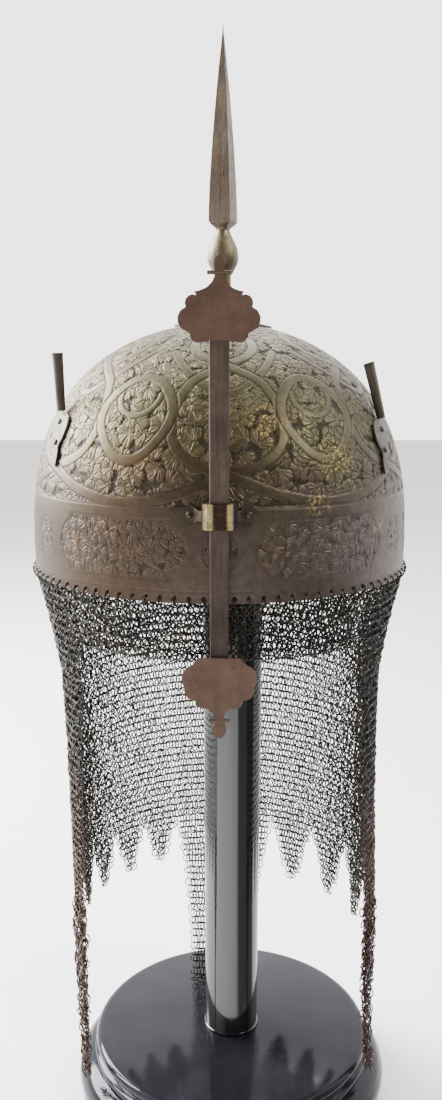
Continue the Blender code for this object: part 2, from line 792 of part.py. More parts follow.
def lying_height():
    """Height of the middle of mail that lies on the base's top."""
    return BASE_HEIGHT + GAP + MAIL_WALL / 2.0


def back_patch(angles):
    """Long point at the back, which drifts in, meets the base's top and lies on it."""
    top = [sway(mail_point(a, 1.0, MAIL_DROP)) for a in angles]
    across = (top[-1] - top[0]).normalized()
    start = top[len(top) // 2]
    touch = Vector((AXIS.x, BACK_TOUCH_REACH, lying_height()))
    steps = [2.0 * i / BACK_STEPS - 1.0 for i in range(BACK_STEPS + 1)]
    rows = [top]
    for share, width in BACK_TAPER:
        swing = start.lerp(touch, share ** BACK_SWING)
        fall = start.lerp(touch, share)
        centre = Vector((swing.x, swing.y, fall.z))
        rows.append([centre + across * width * BACK_POINT_HALF_WIDTH * step for step in steps])
    tip = Vector((AXIS.x, BACK_TIP_REACH, touch.z))
    half = BACK_TIP_SHARE * BACK_POINT_HALF_WIDTH
    rows.append([tip + across * half * step for step in steps])
    return rows


def mail_offset(point):
    """Step from the middle of the mail wall to its outer face: level where the mail hangs,
    downward where it has turned inwards to lie on the base, and slanted where it bends."""
    outward = Vector((point.x - AXIS.x, point.y, 0.0)).normalized()
    if point.z < lying_height() + GAP and point.y > 0.0:
        outward = Vector((0.0, 0.0, -1.0)) + outward * (point.y > BACK_TOUCH_REACH - GAP)
    return outward.normalized() * MAIL_WALL / 2.0


def build_mail():
    """Fringe over the brow, two side curtains with teeth and tail, and the back with its point."""
    fringe = []
    for share in (0.0, 0.5, 1.0):
        drop = share * FRINGE_DROP
        row = []
        for i in range(FRINGE_STEPS + 1):
            degrees = FRINGE_HALF_ANGLE * (2.0 * i / FRINGE_STEPS - 1.0)
            radius = RIM_RADIUS * MAIL_HANG[0][2] - FRINGE_DRAWN_IN * share
            row.append(AXIS + ray(math.radians(degrees)) * radius + Vector((0, 0, -GAP - drop)))
        fringe.append(row)
    thick_sheet("mail_fringe", [fringe], mail_offset, "mail iron")
    tail_middle = (TAIL_FIRST_ANGLE + TAIL_LAST_ANGLE) / 2.0
    for side, name in ((-1, "left"), (1, "right")):
        pitch = (BACK_EDGE_ANGLE - TAIL_LAST_ANGLE) / TEETH[name]
        valleys = [TAIL_LAST_ANGLE + i * pitch for i in range(TEETH[name])]
        valleys.append(BACK_EDGE_ANGLE - SEAM_ANGLE)
        middles = [(first + last) / 2.0 for first, last in zip(valleys, valleys[1:])]
        angles = sorted([TAIL_FIRST_ANGLE, tail_middle] + valleys + middles)
        patches = [mail_rows(angles, side), tail_patch(side, *TAIL_TIP[name])]
        for first, last in zip(valleys, valleys[1:]):
            patches.append(tooth_patch(first, last, side, TOOTH_LENGTH[name]))
        thick_sheet("mail_" + name, patches, mail_offset, "mail iron")
    half = 180.0 - BACK_EDGE_ANGLE - SEAM_ANGLE
    back_angles = [180.0 - half + 2.0 * half * i / BACK_STEPS for i in range(BACK_STEPS + 1)]
    rows = []
    for share, *_ in MAIL_HANG:
        row = []
        for low in back_angles:
            away = abs(low - 180.0)
            mirrored = curtain_angle(180.0 - away, share)
            degrees = mirrored if low <= 180.0 else 360.0 - mirrored
            row.append(sway(mail_point(degrees, share, share * MAIL_DROP), share))
        rows.append(row)
    thick_sheet("mail_back", [rows, back_patch(back_angles)], mail_offset, "mail iron")


def build_stand():
    """Turned base, plain column and the hidden rest under the crown."""
    profile = [(0.0, BASE_HEIGHT)]
    profile += [(r * BASE_RADIUS, z * BASE_HEIGHT) for r, z in BASE_PROFILE]
    profile.append((0.0, 0.0))
    base = turned("stand_base", profile, BASE_SIDES, "black lacquer")
    shade_round(base, 50)
    rest = head_seat()
    head_bottom = RIM_HEIGHT + rest - HEAD_THICKNESS
    shaft = [(0.0, head_bottom - GAP), (COLUMN_RADIUS, head_bottom - GAP),
             (COLUMN_RADIUS, BASE_HEIGHT + GAP), (0.0, BASE_HEIGHT + GAP)]
    column = turned("stand_column", shaft, COLUMN_SIDES, "black lacquer")
    shade_round(column)
    dome = [(radius, head_bottom + HEAD_THICKNESS - sink) for radius, sink in head_profile()]
    dome.append((HEAD_RADIUS, head_bottom))
    dome.append((0.0, head_bottom))
    head = turned("stand_head", dome, COLUMN_SIDES, "black lacquer")
    shade_round(head)


def head_profile(steps=6):
    """Top of the rest: radius, and how far it lies below its middle."""
    points = []
    for i in range(steps + 1):
        share = i / steps
        points.append((HEAD_RADIUS * share, HEAD_DOME * share ** 2))
    return points


def head_seat():
    """Height of the rest's middle above the rim, GAP under the bowl at the closest place."""
    room = []
    for radius, sink in head_profile():
        reach = radius + abs(HELMET_X)
        room.append(bowl_top(reach, BOWL_WALL) + sink)
    return min(room) - GAP


clear_scene()
build_bowl()
build_washer()
build_spike()
build_bar()
build_finial("nasal_finial_top", TOP_FINIAL_OUTLINE, TOP_FINIAL_HALF_WIDTH,
             TOP_FINIAL_FOOT, TOP_FINIAL_LENGTH, TOP_PIN_SHARE)
build_finial("nasal_finial_bottom", LOW_FINIAL_OUTLINE, LOW_FINIAL_HALF_WIDTH,
             -LOW_FINIAL_DROP, -LOW_FINIAL_LENGTH, LOW_PIN_SHARE)
build_keeper()
build_plume_holder("left", -1)
build_plume_holder("right", 1)
build_mail()
build_stand()
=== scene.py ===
# %% [markdown]
# Kulah khud on its display stand. A kulah khud is a light Persian-style helmet: one raised steel
# bowl with chiselled ornament, a spike, a sliding nasal bar, two plume tubes and a curtain of mail.
# The solids come packed in millimetre-true place. This lesson dresses them: it carves the bowl,
# links the mail ring by ring, and gives every metal its own finish.

# %% load the frame
import bpy
import math
import numpy as np
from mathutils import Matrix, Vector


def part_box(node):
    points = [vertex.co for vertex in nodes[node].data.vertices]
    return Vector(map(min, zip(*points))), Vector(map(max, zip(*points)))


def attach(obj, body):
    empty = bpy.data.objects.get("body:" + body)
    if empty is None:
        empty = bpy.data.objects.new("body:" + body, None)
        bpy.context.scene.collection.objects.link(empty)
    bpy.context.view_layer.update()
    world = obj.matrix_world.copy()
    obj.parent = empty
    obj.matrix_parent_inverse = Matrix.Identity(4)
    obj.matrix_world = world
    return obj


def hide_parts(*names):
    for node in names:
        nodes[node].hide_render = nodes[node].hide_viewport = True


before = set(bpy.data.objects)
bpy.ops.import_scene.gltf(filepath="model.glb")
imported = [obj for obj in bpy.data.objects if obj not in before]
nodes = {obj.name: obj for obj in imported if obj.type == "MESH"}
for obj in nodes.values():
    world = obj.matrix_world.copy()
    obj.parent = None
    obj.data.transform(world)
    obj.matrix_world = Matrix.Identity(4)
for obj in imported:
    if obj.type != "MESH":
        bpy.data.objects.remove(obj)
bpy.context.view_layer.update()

# %% [markdown]
# The photograph was taken from in front and a little above, from close by, so the bowl's rim reads
# as a wide ellipse. The camera is a plain one without depth of field; a small upward shift frames
# the tall spike while the optical axis points down at the mail.

# %% camera
CAMERA_PLACE = (-0.0067, -0.5403, 0.4509)
CAMERA_TILT_DEGREES = 70.14
CAMERA_LENS = 32.06
CAMERA_SHIFT = 0.1541
camera_data = bpy.data.cameras.new("camera")
camera_data.lens = CAMERA_LENS
camera_data.sensor_width = 36.0
camera_data.shift_y = CAMERA_SHIFT
camera = bpy.data.objects.new("camera", camera_data)
camera.location = CAMERA_PLACE
camera.rotation_euler = (math.radians(CAMERA_TILT_DEGREES), 0.0, 0.0)
bpy.context.scene.collection.objects.link(camera)
bpy.context.scene.camera = camera
print("camera at", CAMERA_PLACE)

# %% [markdown]
# Every new surface here is a grid of points worked out with numpy and poured into a mesh in one go.
# Two helpers do that: one makes the mesh object, one numbers the quads of a grid.

# %% helpers for meshes
MM = 0.001

added_triangles = []


def make_piece(name, points, quads, body="helmet", extra=(), smooth=True):
    """Mesh object from points in millimetres, quads, and a few faces of other sizes."""
    mesh = bpy.data.meshes.new(name)
    flat = [np.asarray(quads).ravel()] + [np.asarray(face) for face in extra]
    sizes = np.concatenate([np.full(len(quads), 4), np.array([len(f) for f in extra], int)])
    corners = np.concatenate(flat).astype(np.int32)
    starts = np.concatenate([[0], np.cumsum(sizes)[:-1]]).astype(np.int32)
    mesh.vertices.add(len(points))
    mesh.vertices.foreach_set("co", (np.asarray(points) * MM).astype(np.float32).ravel())
    mesh.loops.add(len(corners))
    mesh.loops.foreach_set("vertex_index", corners)
    mesh.polygons.add(len(sizes))
    mesh.polygons.foreach_set("loop_start", starts)
    mesh.polygons.foreach_set("use_smooth", np.full(len(sizes), smooth))
    mesh.update(calc_edges=True)
    mesh.validate()
    piece = bpy.data.objects.new(name, mesh)
    bpy.context.scene.collection.objects.link(piece)
    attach(piece, body)
    added_triangles.append(int((sizes - 2).sum()))
    return piece


def sharpen(piece, degrees):
    """Mark edges sharper than an angle, so flats stay flat and round parts stay round."""
    piece.data.set_sharp_from_angle(angle=math.radians(degrees))
    return piece


def grid_quads(rows, columns, start=0, flip=False):
    """Quads of a grid whose points run along the columns first, from point number start."""
    first = (np.arange(rows - 1)[:, None] * columns + np.arange(columns - 1)[None, :]).ravel()
    quads = np.stack([first, first + 1, first + columns + 1, first + columns], axis=1) + start
    return quads[:, ::-1] if flip else quads


def smooth_step(low, high, value):
    """Soft step from 0 at low to 1 at high."""
    share = np.clip((value - low) / (high - low), 0.0, 1.0)
    return share * share * (3.0 - 2.0 * share)


def chance(i, j, salt):
    """Repeatable random number from 0 to 1 for each whole-number pair."""
    wave = np.sin(i * 127.1 + j * 311.7 + salt * 74.7) * 43758.5453
    return wave - np.floor(wave)


# %% [markdown]
# The bowl is raised from one sheet of steel, so it is a surface of revolution. Its meridian is a
# superellipse: the radius at height z is R times the root of 1 - (z/H)^n. The ornament is laid out
# on the unrolled surface, by the angle round the axis and the distance s up the meridian.

# %% bowl meridian
HELMET_X = -7.5
RIM_Z = 348.0
RIM_RADIUS = 100.0
BOWL_HEIGHT = 123.5
BOWL_FULLNESS = 2.95
BOWL_WALL = 1.5
CROWN_HOLE = 12.0
fine = 1.0 - (1.0 - np.linspace(0.0, 1.0, 6000)) ** 2
fine_z = BOWL_HEIGHT * fine
fine_r = RIM_RADIUS * np.sqrt(np.clip(1.0 - fine ** BOWL_FULLNESS, 0.0, 1.0))
fine_s = np.concatenate([[0.0], np.cumsum(np.hypot(np.diff(fine_z), np.diff(fine_r)))])
fine_y = np.concatenate([[0.0], np.cumsum(np.diff(fine_s) * RIM_RADIUS / np.maximum(fine_r[1:], 1.0))])
MERIDIAN_TOP = float(np.interp(CROWN_HOLE, fine_r[::-1], fine_s[::-1]))
print("meridian length mm", round(float(fine_s[-1]), 1), "carved up to", round(MERIDIAN_TOP, 1))


def bowl_place(theta, s, depth):
    """Point on the bowl at angle theta (degrees from the brow) and s along the meridian,
    sunk by depth along the outward normal, in millimetres."""
    z = np.interp(s, fine_s, fine_z)
    r = np.interp(s, fine_s, fine_r)
    step = 0.05
    slope_z = np.interp(s + step, fine_s, fine_z) - np.interp(s - step, fine_s, fine_z)
    slope_r = np.interp(s + step, fine_s, fine_r) - np.interp(s - step, fine_s, fine_r)
    size = np.maximum(np.hypot(slope_z, slope_r), 1e-9)
    r_sunk = r - depth * slope_z / size
    z_sunk = z + depth * slope_r / size
    turn = np.radians(theta)
    return np.stack([HELMET_X + r_sunk * np.sin(turn), -r_sunk * np.cos(turn), RIM_Z + z_sunk], axis=-1)


# %% [markdown]
# The chiselled ornament has three layers. Plain raised straps cross each other and ring the
# medallions. Between them the ground is cut away and leaves, small flowers and scrolling stems are
# left standing. A band of long cartouches runs round above the rim. A smith cuts these with
# chisels and punches; here each layer is a height worked out for every point of the grid at once.

# %% strap layout
PERIOD = 60.0
COLUMN_OFFSET = 2.5
STRAP_WIDTH = 4.4
STRAP_PATH = np.array([
    (30.0, 44.5), (24.0, 45.2), (17.0, 47.4), (11.0, 50.2), (7.5, 52.6), (0.0, 57.5), (-7.5, 61.0),
    (-13.0, 66.0), (-16.2, 73.0), (-17.0, 81.0), (-16.6, 89.0), (-14.6, 97.0), (-10.8, 105.0),
    (0.0, 114.0), (9.0, 120.0), (14.0, 126.0), (15.5, 133.0), (12.0, 141.0), (0.0, 148.0),
])
CUSP_PATH = np.array([(24.0, 124.0), (17.0, 113.0), (10.8, 105.0), (5.0, 98.5), (0.0, 96.0)])
MEDALLION_S = 84.5
MEDALLION_RADII = (18.0, 20.5)
INNER_RING_S = 95.0
INNER_RING_RADIUS = 10.5


def folded(theta, offset):
    """Angle from the nearest column centre, from -30 to 30 degrees."""
    return (theta - offset + PERIOD / 2.0) % PERIOD - PERIOD / 2.0


def path_distance(theta, s, r, path):
    """Shortest distance in millimetres from each point to a path of straight steps, measured
    in the plane that touches the bowl there."""
    scale = r * math.pi / 180.0
    best = np.full(theta.shape, 1e9)
    for (a0, s0), (a1, s1) in zip(path, path[1:]):
        step_x = (a1 - a0) * scale
        step_y = s1 - s0
        from_x = (theta - a0) * scale
        from_y = s - s0
        share = np.clip((from_x * step_x + from_y * step_y) / (step_x ** 2 + step_y ** 2), 0.0, 1.0)
        best = np.minimum(best, np.hypot(from_x - share * step_x, from_y - share * step_y))
    return best


def smooth_path(path, steps=6):
    """Catmull-Rom curve through the path's points, with some steps between each two."""
    ends = np.concatenate([[2 * path[0] - path[1]], path, [2 * path[-1] - path[-2]]])
    t = np.linspace(0.0, 1.0, steps, endpoint=False)[:, None]
    pieces = []
    for p0, p1, p2, p3 in zip(ends, ends[1:], ends[2:], ends[3:]):
        pieces.append(0.5 * (2 * p1 + (p2 - p0) * t + (2 * p0 - 5 * p1 + 4 * p2 - p3) * t ** 2
                             + (3 * p1 - 3 * p2 + p3 - p0) * t ** 3))
    return np.concatenate(pieces + [path[-1:]])


def from_medallion(theta, s, r, middle):
    """Steps across and up, in millimetres, from the middle line between two strap columns."""
    across = (PERIOD / 2.0 - np.abs(folded(theta, COLUMN_OFFSET))) * r * math.pi / 180.0
    return across, s - middle


def medallion_distance(theta, s, r):
    """Distance from the egg-shaped ring round a medallion, and from the small ring in its top."""
    across, up = from_medallion(theta, s, r, MEDALLION_S)
    turn = np.arctan2(up, across)
    ring = 1.0 / np.hypot(np.cos(turn) / MEDALLION_RADII[0], np.sin(turn) / MEDALLION_RADII[1])
    lobes = 1.0 + 0.03 * np.cos(4.0 * turn)
    large = np.abs(np.hypot(across, up) - ring * lobes)
    across, up = from_medallion(theta, s, r, INNER_RING_S)
    small = np.abs(np.hypot(across, up) - INNER_RING_RADIUS) + 6.0 * smooth_step(1.0, 6.0, up)
    return large, small


# %% [markdown]
# The leaves of this work are broad: fans of three to seven rounded petals, each with a fine vein,
# packed so close that only thin dark lines and small pockets of ground show between them. In polar
# form a fan's edge swells at each petal. A jittered lattice plants one fan or flower per cell. Each
# point of the bowl asks its nine nearest cells how deep it lies inside their fans: the largest
# answer owns the point, and where the two largest are almost equal a thin line is cut.

# %% leafage


def leafage(theta, conformal, cells, salt):
    """How far in millimetres each point lies inside the fan that owns it (negative: in a pocket of
    ground), how far from the line between two fans, and its place on the fan: steps along and
    across it in millimetres, and the number of petals."""
    pitch = 2.0 * math.pi * RIM_RADIUS / cells
    x = np.radians(theta) * RIM_RADIUS / pitch
    y = conformal / pitch
    i0 = np.floor(x)
    j0 = np.floor(y)
    first = np.full(theta.shape, -9.0)
    second = np.full(theta.shape, -9.0)
    place = np.zeros(theta.shape + (3,))
    for di in (-1, 0, 1):
        for dj in (-1, 0, 1):
            i = (i0 + di) % cells
            j = j0 + dj
            cx = i0 + di + 0.5 + 0.62 * (chance(i, j, salt + 1) - 0.5)
            cy = j + 0.5 + 0.62 * (chance(i, j, salt + 2) - 0.5)
            turn = 2.0 * math.pi * chance(i, j, salt + 3)
            flower = chance(i, j, salt + 4) < 0.22
            size = 0.70 + 0.22 * chance(i, j, salt + 5)
            u = (x - cx) * np.cos(turn) + (y - cy) * np.sin(turn)
            v = (y - cy) * np.cos(turn) - (x - cx) * np.sin(turn)
            u = u + np.where(flower, 0.0, 0.30)
            rho = np.hypot(u, v)
            psi = np.arctan2(v, u)
            petals = np.where(flower, 6.0, 5.0 + 2.0 * np.round(chance(i, j, salt + 6)))
            swell = np.abs(np.cos(psi * petals / 2.0)) ** 0.5
            fan = np.where(flower, 0.80, 0.25 + 0.95 * smooth_step(2.3, 0.9, np.abs(psi)) * (0.8 + 0.2 * np.cos(psi)))
            edge = size * fan * (0.74 + 0.26 * swell)
            inside = (edge - rho) * pitch
            owner = inside > first
            second = np.where(owner, first, np.maximum(second, inside))
            here = np.stack([u * pitch, v * pitch, petals], axis=-1)
            place = np.where(owner[..., None], here, place)
            first = np.where(owner, inside, first)
    return first, first - second, place


def chisel(theta, conformal, cells, salt, deep, swell):
    """Depth of the leafage in millimetres: pockets of ground, thin lines between the fans and
    between the petals, and each fan slightly domed. Also each point's place on its fan."""
    inside, apart, place = leafage(theta, conformal, cells, salt)
    psi = np.arctan2(place[..., 1], place[..., 0])
    rho = np.hypot(place[..., 0], place[..., 1])
    petals = place[..., 2]
    between = np.abs(np.cos(psi * petals / 2.0)) * rho * 2.0 / petals
    pocket = smooth_step(0.12, -0.25, inside)
    parting = np.clip(1.0 - apart / 0.7, 0.0, 1.0)
    groove = np.clip(1.0 - between / 0.6, 0.0, 1.0)
    dome = swell * np.exp(-np.minimum(np.maximum(inside, 0.0), apart) / 0.9)
    cut = np.maximum(0.75 * parting, 0.40 * groove) * deep
    return np.maximum(pocket * deep, np.maximum(cut, dome)), place


# %% [markdown]
# The band above the rim holds six long cartouches with cusped ends and a small oval between each
# two. On the real helmet such panels carry writing; here they hold the same generic foliage.

# %% lower band
CARTOUCHE_OFFSET = 0.5
CARTOUCHE_HALF = 37.5
CARTOUCHE_MIDDLE = 24.0
CARTOUCHE_HALF_HEIGHT = 13.8
OVAL_HALF = 8.6
OVAL_HALF_HEIGHT = 9.5


def cartouche_distance(theta, z):
    """Signed distance inside (positive) a long panel whose ends draw in to a cusp."""
    across = (PERIOD / 2.0 - np.abs(folded(theta, CARTOUCHE_OFFSET))) * RIM_RADIUS * math.pi / 180.0
    up = np.abs(z - CARTOUCHE_MIDDLE)
    end = CARTOUCHE_HALF - 7.0 * smooth_step(3.0, CARTOUCHE_HALF_HEIGHT, up) - 1.5 * smooth_step(0.0, 3.0, up)
    return np.minimum(end - across, CARTOUCHE_HALF_HEIGHT - up)


def oval_distance(theta, z):
    """Signed distance inside a small pointed oval that stands between two cartouches."""
    across = np.abs(folded(theta, CARTOUCHE_OFFSET)) * RIM_RADIUS * math.pi / 180.0
    up = np.abs(z - CARTOUCHE_MIDDLE)
    reach = np.hypot(across / OVAL_HALF, up / OVAL_HALF_HEIGHT)
    return (1.0 - reach) * OVAL_HALF


# %% [markdown]
# Now the layers meet in one depth for each point: 0 on the plain steel, up to almost half a
# millimetre in the cut ground. Straps lie over the leafage, over each other in turn, and carry a
# fine line along each edge. Small holes for the mail's first rings are dimples along the rim.

# %% carve
GROUND_DEPTH = 0.50
LEAF_CELLS = 70
HIGH_LEAF_CELLS = 52
SMALL_LEAF_CELLS = 104
HOLE_COUNT = 90
HOLE_HEIGHT = 2.3
HOLE_RADIUS = 0.85
PLAIN_HIGH = 42.6
LOW_LINE = 5.6


def line(distance, width, depth):
    """Depth of a fine cut line where the distance is near 0."""
    return depth * np.clip(1.0 - np.abs(distance) / width, 0.0, 1.0)


def lay_strap(depth, distance, half):
    """Depth with a strap laid over it: smooth steel, slightly crowned, and a dark cut just outside."""
    cover = smooth_step(half + 0.20, half - 0.15, distance)
    beside = line(distance - (half + 0.35), 0.45, 0.85 * GROUND_DEPTH)
    on_top = 0.06 * (distance / half) ** 2
    return np.maximum(depth, beside) * (1.0 - cover) + on_top * cover


def carve(theta, s):
    """Depth in millimetres, dirt from 0 to 1, place on the leaf, and share of leafage, at each
    point of the bowl's outside."""
    r = np.interp(s, fine_s, fine_r)
    z = np.interp(s, fine_s, fine_z)
    conformal = np.interp(s, fine_s, fine_y)
    local = folded(theta, COLUMN_OFFSET)
    path = smooth_path(STRAP_PATH)
    rising = path_distance(local, s, r, path)
    falling = path_distance(-local, s, r, path)
    swap = s > 84.0
    upper = np.where(swap, falling, rising)
    lower = np.where(swap, rising, falling)
    cusp = path_distance(np.abs(local), s, r, smooth_path(CUSP_PATH))
    ring, small_ring = medallion_distance(theta, s, r)
    half = STRAP_WIDTH / 2.0
    low_leaves, place = chisel(theta, conformal, LEAF_CELLS, 11, GROUND_DEPTH, 0.16)
    high_leaves, high_place = chisel(theta, conformal, HIGH_LEAF_CELLS, 29, GROUND_DEPTH, 0.14)
    high = s > 112.0
    depth = np.where(high, high_leaves * (1.0 - 0.35 * smooth_step(112.0, 160.0, s)), low_leaves)
    place = np.where(high[..., None], high_place, place)
    filled = np.ones(theta.shape)
    for distance, width in ((small_ring, 0.62 * half), (cusp, 0.8 * half), (lower, half), (upper, half), (ring, half)):
        depth = lay_strap(depth, distance, width)
        filled = filled * smooth_step(width, width + 0.5, distance)
    plain_above = smooth_step(43.6, 42.9, z)
    depth = depth * (1.0 - plain_above)
    small, small_place = chisel(theta, conformal, SMALL_LEAF_CELLS, 47, 0.34, 0.10)
    place = np.where(plain_above[..., None] > 0.5, small_place, place)
    filled = filled * (1.0 - plain_above)
    for panel in (cartouche_distance(theta, z), oval_distance(theta, z)):
        inside = smooth_step(0.9, 1.3, panel)
        cut = np.maximum(small * inside, line(panel - 0.45, 0.5, 0.26))
        depth = np.maximum(depth, cut * plain_above)
        filled = np.maximum(filled, 0.6 * inside * plain_above)
    depth = np.maximum(depth, line(z - PLAIN_HIGH, 0.40, 0.22))
    depth = np.maximum(depth, line(z - LOW_LINE, 0.40, 0.18))
    hole_turn = ((theta / 360.0 * HOLE_COUNT + 0.5) % 1.0 - 0.5) * 2.0 * math.pi * RIM_RADIUS / HOLE_COUNT
    hole = np.hypot(hole_turn, z - HOLE_HEIGHT)
    depth = np.maximum(depth, 0.95 * smooth_step(HOLE_RADIUS + 0.25, HOLE_RADIUS - 0.25, hole))
    dirt = np.clip(depth / GROUND_DEPTH, 0.0, 1.6)
    return depth, dirt, place, filled


# %% [markdown]
# Each quarter of the bowl is a closed shell of its own: a fine carved grid outside, a coarser plain
# grid inside, and flat strips that join their edges. Each coarse step meets five fine ones.

# %% bowl shells
STEPS_PER_INNER = 5


def edge_strips(outer, inner, reverse):
    """Flat faces between a fine edge and a coarse edge that run side by side."""
    faces = []
    for k in range(len(inner) - 1):
        fine_part = outer[k * STEPS_PER_INNER:(k + 1) * STEPS_PER_INNER + 1]
        face = [inner[k]] + list(fine_part) + [inner[k + 1]]
        faces.append(face[::-1] if reverse else face)
    return faces


def bowl_shell(name, first, last, columns, rows):
    """Closed quarter of the bowl between two angles, carved on its outside."""
    theta, s = np.meshgrid(np.linspace(first, last, columns + 1), np.linspace(0.0, MERIDIAN_TOP, rows + 1))
    depth, dirt, place, filled = carve(theta, s)
    outer = bowl_place(theta, s, depth).reshape(-1, 3)
    in_columns = columns // STEPS_PER_INNER + 1
    in_rows = rows // STEPS_PER_INNER + 1
    theta_in, s_in = np.meshgrid(np.linspace(first, last, in_columns), np.linspace(0.0, MERIDIAN_TOP, in_rows))
    inner = bowl_place(theta_in, s_in, np.full(theta_in.shape, BOWL_WALL))
    inner[0, :, 2] = RIM_Z
    inner = inner.reshape(-1, 3)
    count = len(outer)
    quads = np.concatenate([grid_quads(rows + 1, columns + 1),
                            grid_quads(in_rows, in_columns, count, flip=True)])
    numbers = np.arange(count).reshape(rows + 1, columns + 1)
    inside = np.arange(len(inner)).reshape(in_rows, in_columns) + count
    extra = edge_strips(numbers[0], inside[0], True) + edge_strips(numbers[-1], inside[-1], False)
    extra += edge_strips(numbers[:, 0], inside[:, 0], False) + edge_strips(numbers[:, -1], inside[:, -1], True)
    piece = sharpen(make_piece(name, np.concatenate([outer, inner]), quads, extra=extra), 80.0)
    for layer_name, values, inner_value in (("dirt", dirt, 0.6), ("filled", filled, 0.0)):
        layer = piece.data.attributes.new(layer_name, "FLOAT", "POINT")
        padded = np.concatenate([values.ravel(), np.full(len(inner), inner_value)])
        layer.data.foreach_set("value", padded.astype(np.float32))
    layer = piece.data.attributes.new("leaf_place", "FLOAT_VECTOR", "POINT")
    padded = np.concatenate([place.reshape(-1, 3), np.ones((len(inner), 3))])
    layer.data.foreach_set("vector", padded.astype(np.float32).ravel())
    print(name, "faces", len(piece.data.polygons), "depth mm", round(float(depth.max()), 2))
    return piece


bowl_pieces = [
    bowl_shell("bowl_front_left", -90.0, 0.0, 285, 315),
    bowl_shell("bowl_front_right", 0.0, 90.0, 285, 315),
    bowl_shell("bowl_back_right", 90.0, 180.0, 150, 165),
    bowl_shell("bowl_back_left", 180.0, 270.0, 150, 165),
]
for piece in bowl_pieces:
    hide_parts("bowl")

# %% [markdown]
# Mail is thousands of small iron rings, each linked with its neighbours above and below. Seen from
# afar the rows read as level dark lines with small light gaps. Every ring here is a real torus with
# a three-sided wire of eight steps, placed on the hanging surface of the curtain, leaning a little
# to one side and the next one to the other, as linked rings do.

# %% ring maker
RING_STEPS = 8
WIRE_STEPS = 3
rng = np.random.default_rng(7)


def unit(vectors):
    """Vectors scaled to length 1."""
    return vectors / np.maximum(np.linalg.norm(vectors, axis=-1, keepdims=True), 1e-9)


def ring_points(centres, across, down, tilt, radius, wire):
    """Torus points for every ring: centre + (radius + wire cos q)(cos p across + sin p down)
    + wire sin q normal, with the down and normal directions tipped about the level one."""
    normal = np.cross(across, down)
    tipped = down * np.cos(tilt)[:, None] + normal * np.sin(tilt)[:, None]
    axis = np.cross(across, tipped)
    p = np.arange(RING_STEPS) * 2.0 * math.pi / RING_STEPS
    q = np.arange(WIRE_STEPS) * 2.0 * math.pi / WIRE_STEPS
    p, q = np.meshgrid(p, q, indexing="ij")
    reach = radius[:, None] + wire * np.cos(q).ravel()[None, :]
    flat = (reach * np.cos(p).ravel())[:, :, None] * across[:, None, :]
    flat = flat + (reach * np.sin(p).ravel())[:, :, None] * tipped[:, None, :]
    lift = (wire * np.sin(q).ravel())[None, :, None] * axis[:, None, :]
    return (centres[:, None, :] + flat + lift).reshape(-1, 3)


def ring_quads(count):
    """Quads of all the tori, with the same winding."""
    a, b = np.meshgrid(np.arange(RING_STEPS), np.arange(WIRE_STEPS), indexing="ij")
    next_a = (a + 1) % RING_STEPS
    next_b = (b + 1) % WIRE_STEPS
    one = np.stack([a * WIRE_STEPS + b, next_a * WIRE_STEPS + b, next_a * WIRE_STEPS + next_b,
                    a * WIRE_STEPS + next_b], axis=-1).reshape(-1, 4)
    shift = np.arange(count)[:, None, None] * RING_STEPS * WIRE_STEPS
    return (one[None] + shift).reshape(-1, 4)


# %% [markdown]
# The curtain hangs from the rim and draws in a little under its own weight. Its middle surface is
# given by a table: at each share of the drop, the angle of the front edge and the radius at the
# front corner, the side and the back, as shares of the rim's radius.

# %% hang of the curtain
MAIL_DROP = 189.0
MAIL_SWAY = 3.0
CORNER_SPREAD = 2.4
HANG = np.array([
    (0.00, 43.6, 0.9925, 0.9925, 0.9925),
    (0.12, 47.0, 0.950, 0.938, 0.975),
    (0.28, 52.0, 0.912, 0.868, 0.930),
    (0.46, 55.0, 0.912, 0.864, 0.885),
    (0.70, 57.0, 0.925, 0.860, 0.840),
    (1.00, 58.0, 0.945, 0.872, 0.800),
])


def hang_point(low, drop, side):
    """Point of the curtain for a strand whose angle at the lower edge is low (degrees), at a drop
    in millimetres. The left side is the right one mirrored; both sway a little to one side."""
    share = np.clip(drop / MAIL_DROP, 0.0, 1.0)
    edge, corner, flank, back = (np.interp(share, HANG[:, 0], HANG[:, k]) for k in range(1, 5))
    angle = edge + (180.0 - edge) * (low - 58.0) / 122.0
    cos = np.cos(np.radians(angle))
    radius = flank + (corner - flank) * np.minimum(1.0, CORNER_SPREAD * np.maximum(0.0, cos))
    radius = (radius + (back - flank) * np.maximum(0.0, -cos) ** 2) * RIM_RADIUS
    x = HELMET_X + side * radius * np.sin(np.radians(angle)) + MAIL_SWAY * share ** 1.5
    return np.stack([x, -radius * cos, RIM_Z - 0.3 - drop], axis=-1)


# %% [markdown]
# A knit row is a line of rings half over each other; the next row sits lower by a bit less than a
# ring and half a step along. The strands keep their number from rim to edge, so the mail closes up
# as it narrows. At the lower edge the rings past each tooth's slanting side are left off.

# %% curtain rings
ROW_PITCH = 4.5
RING_RADIUS = 2.4
WIRE_RADIUS = 0.45
TILT = math.radians(14.0)
STRANDS_PER_DEGREE = 73.0 / 98.0
TEETH = {"left": (5, 34.0), "right": (4, 46.0)}


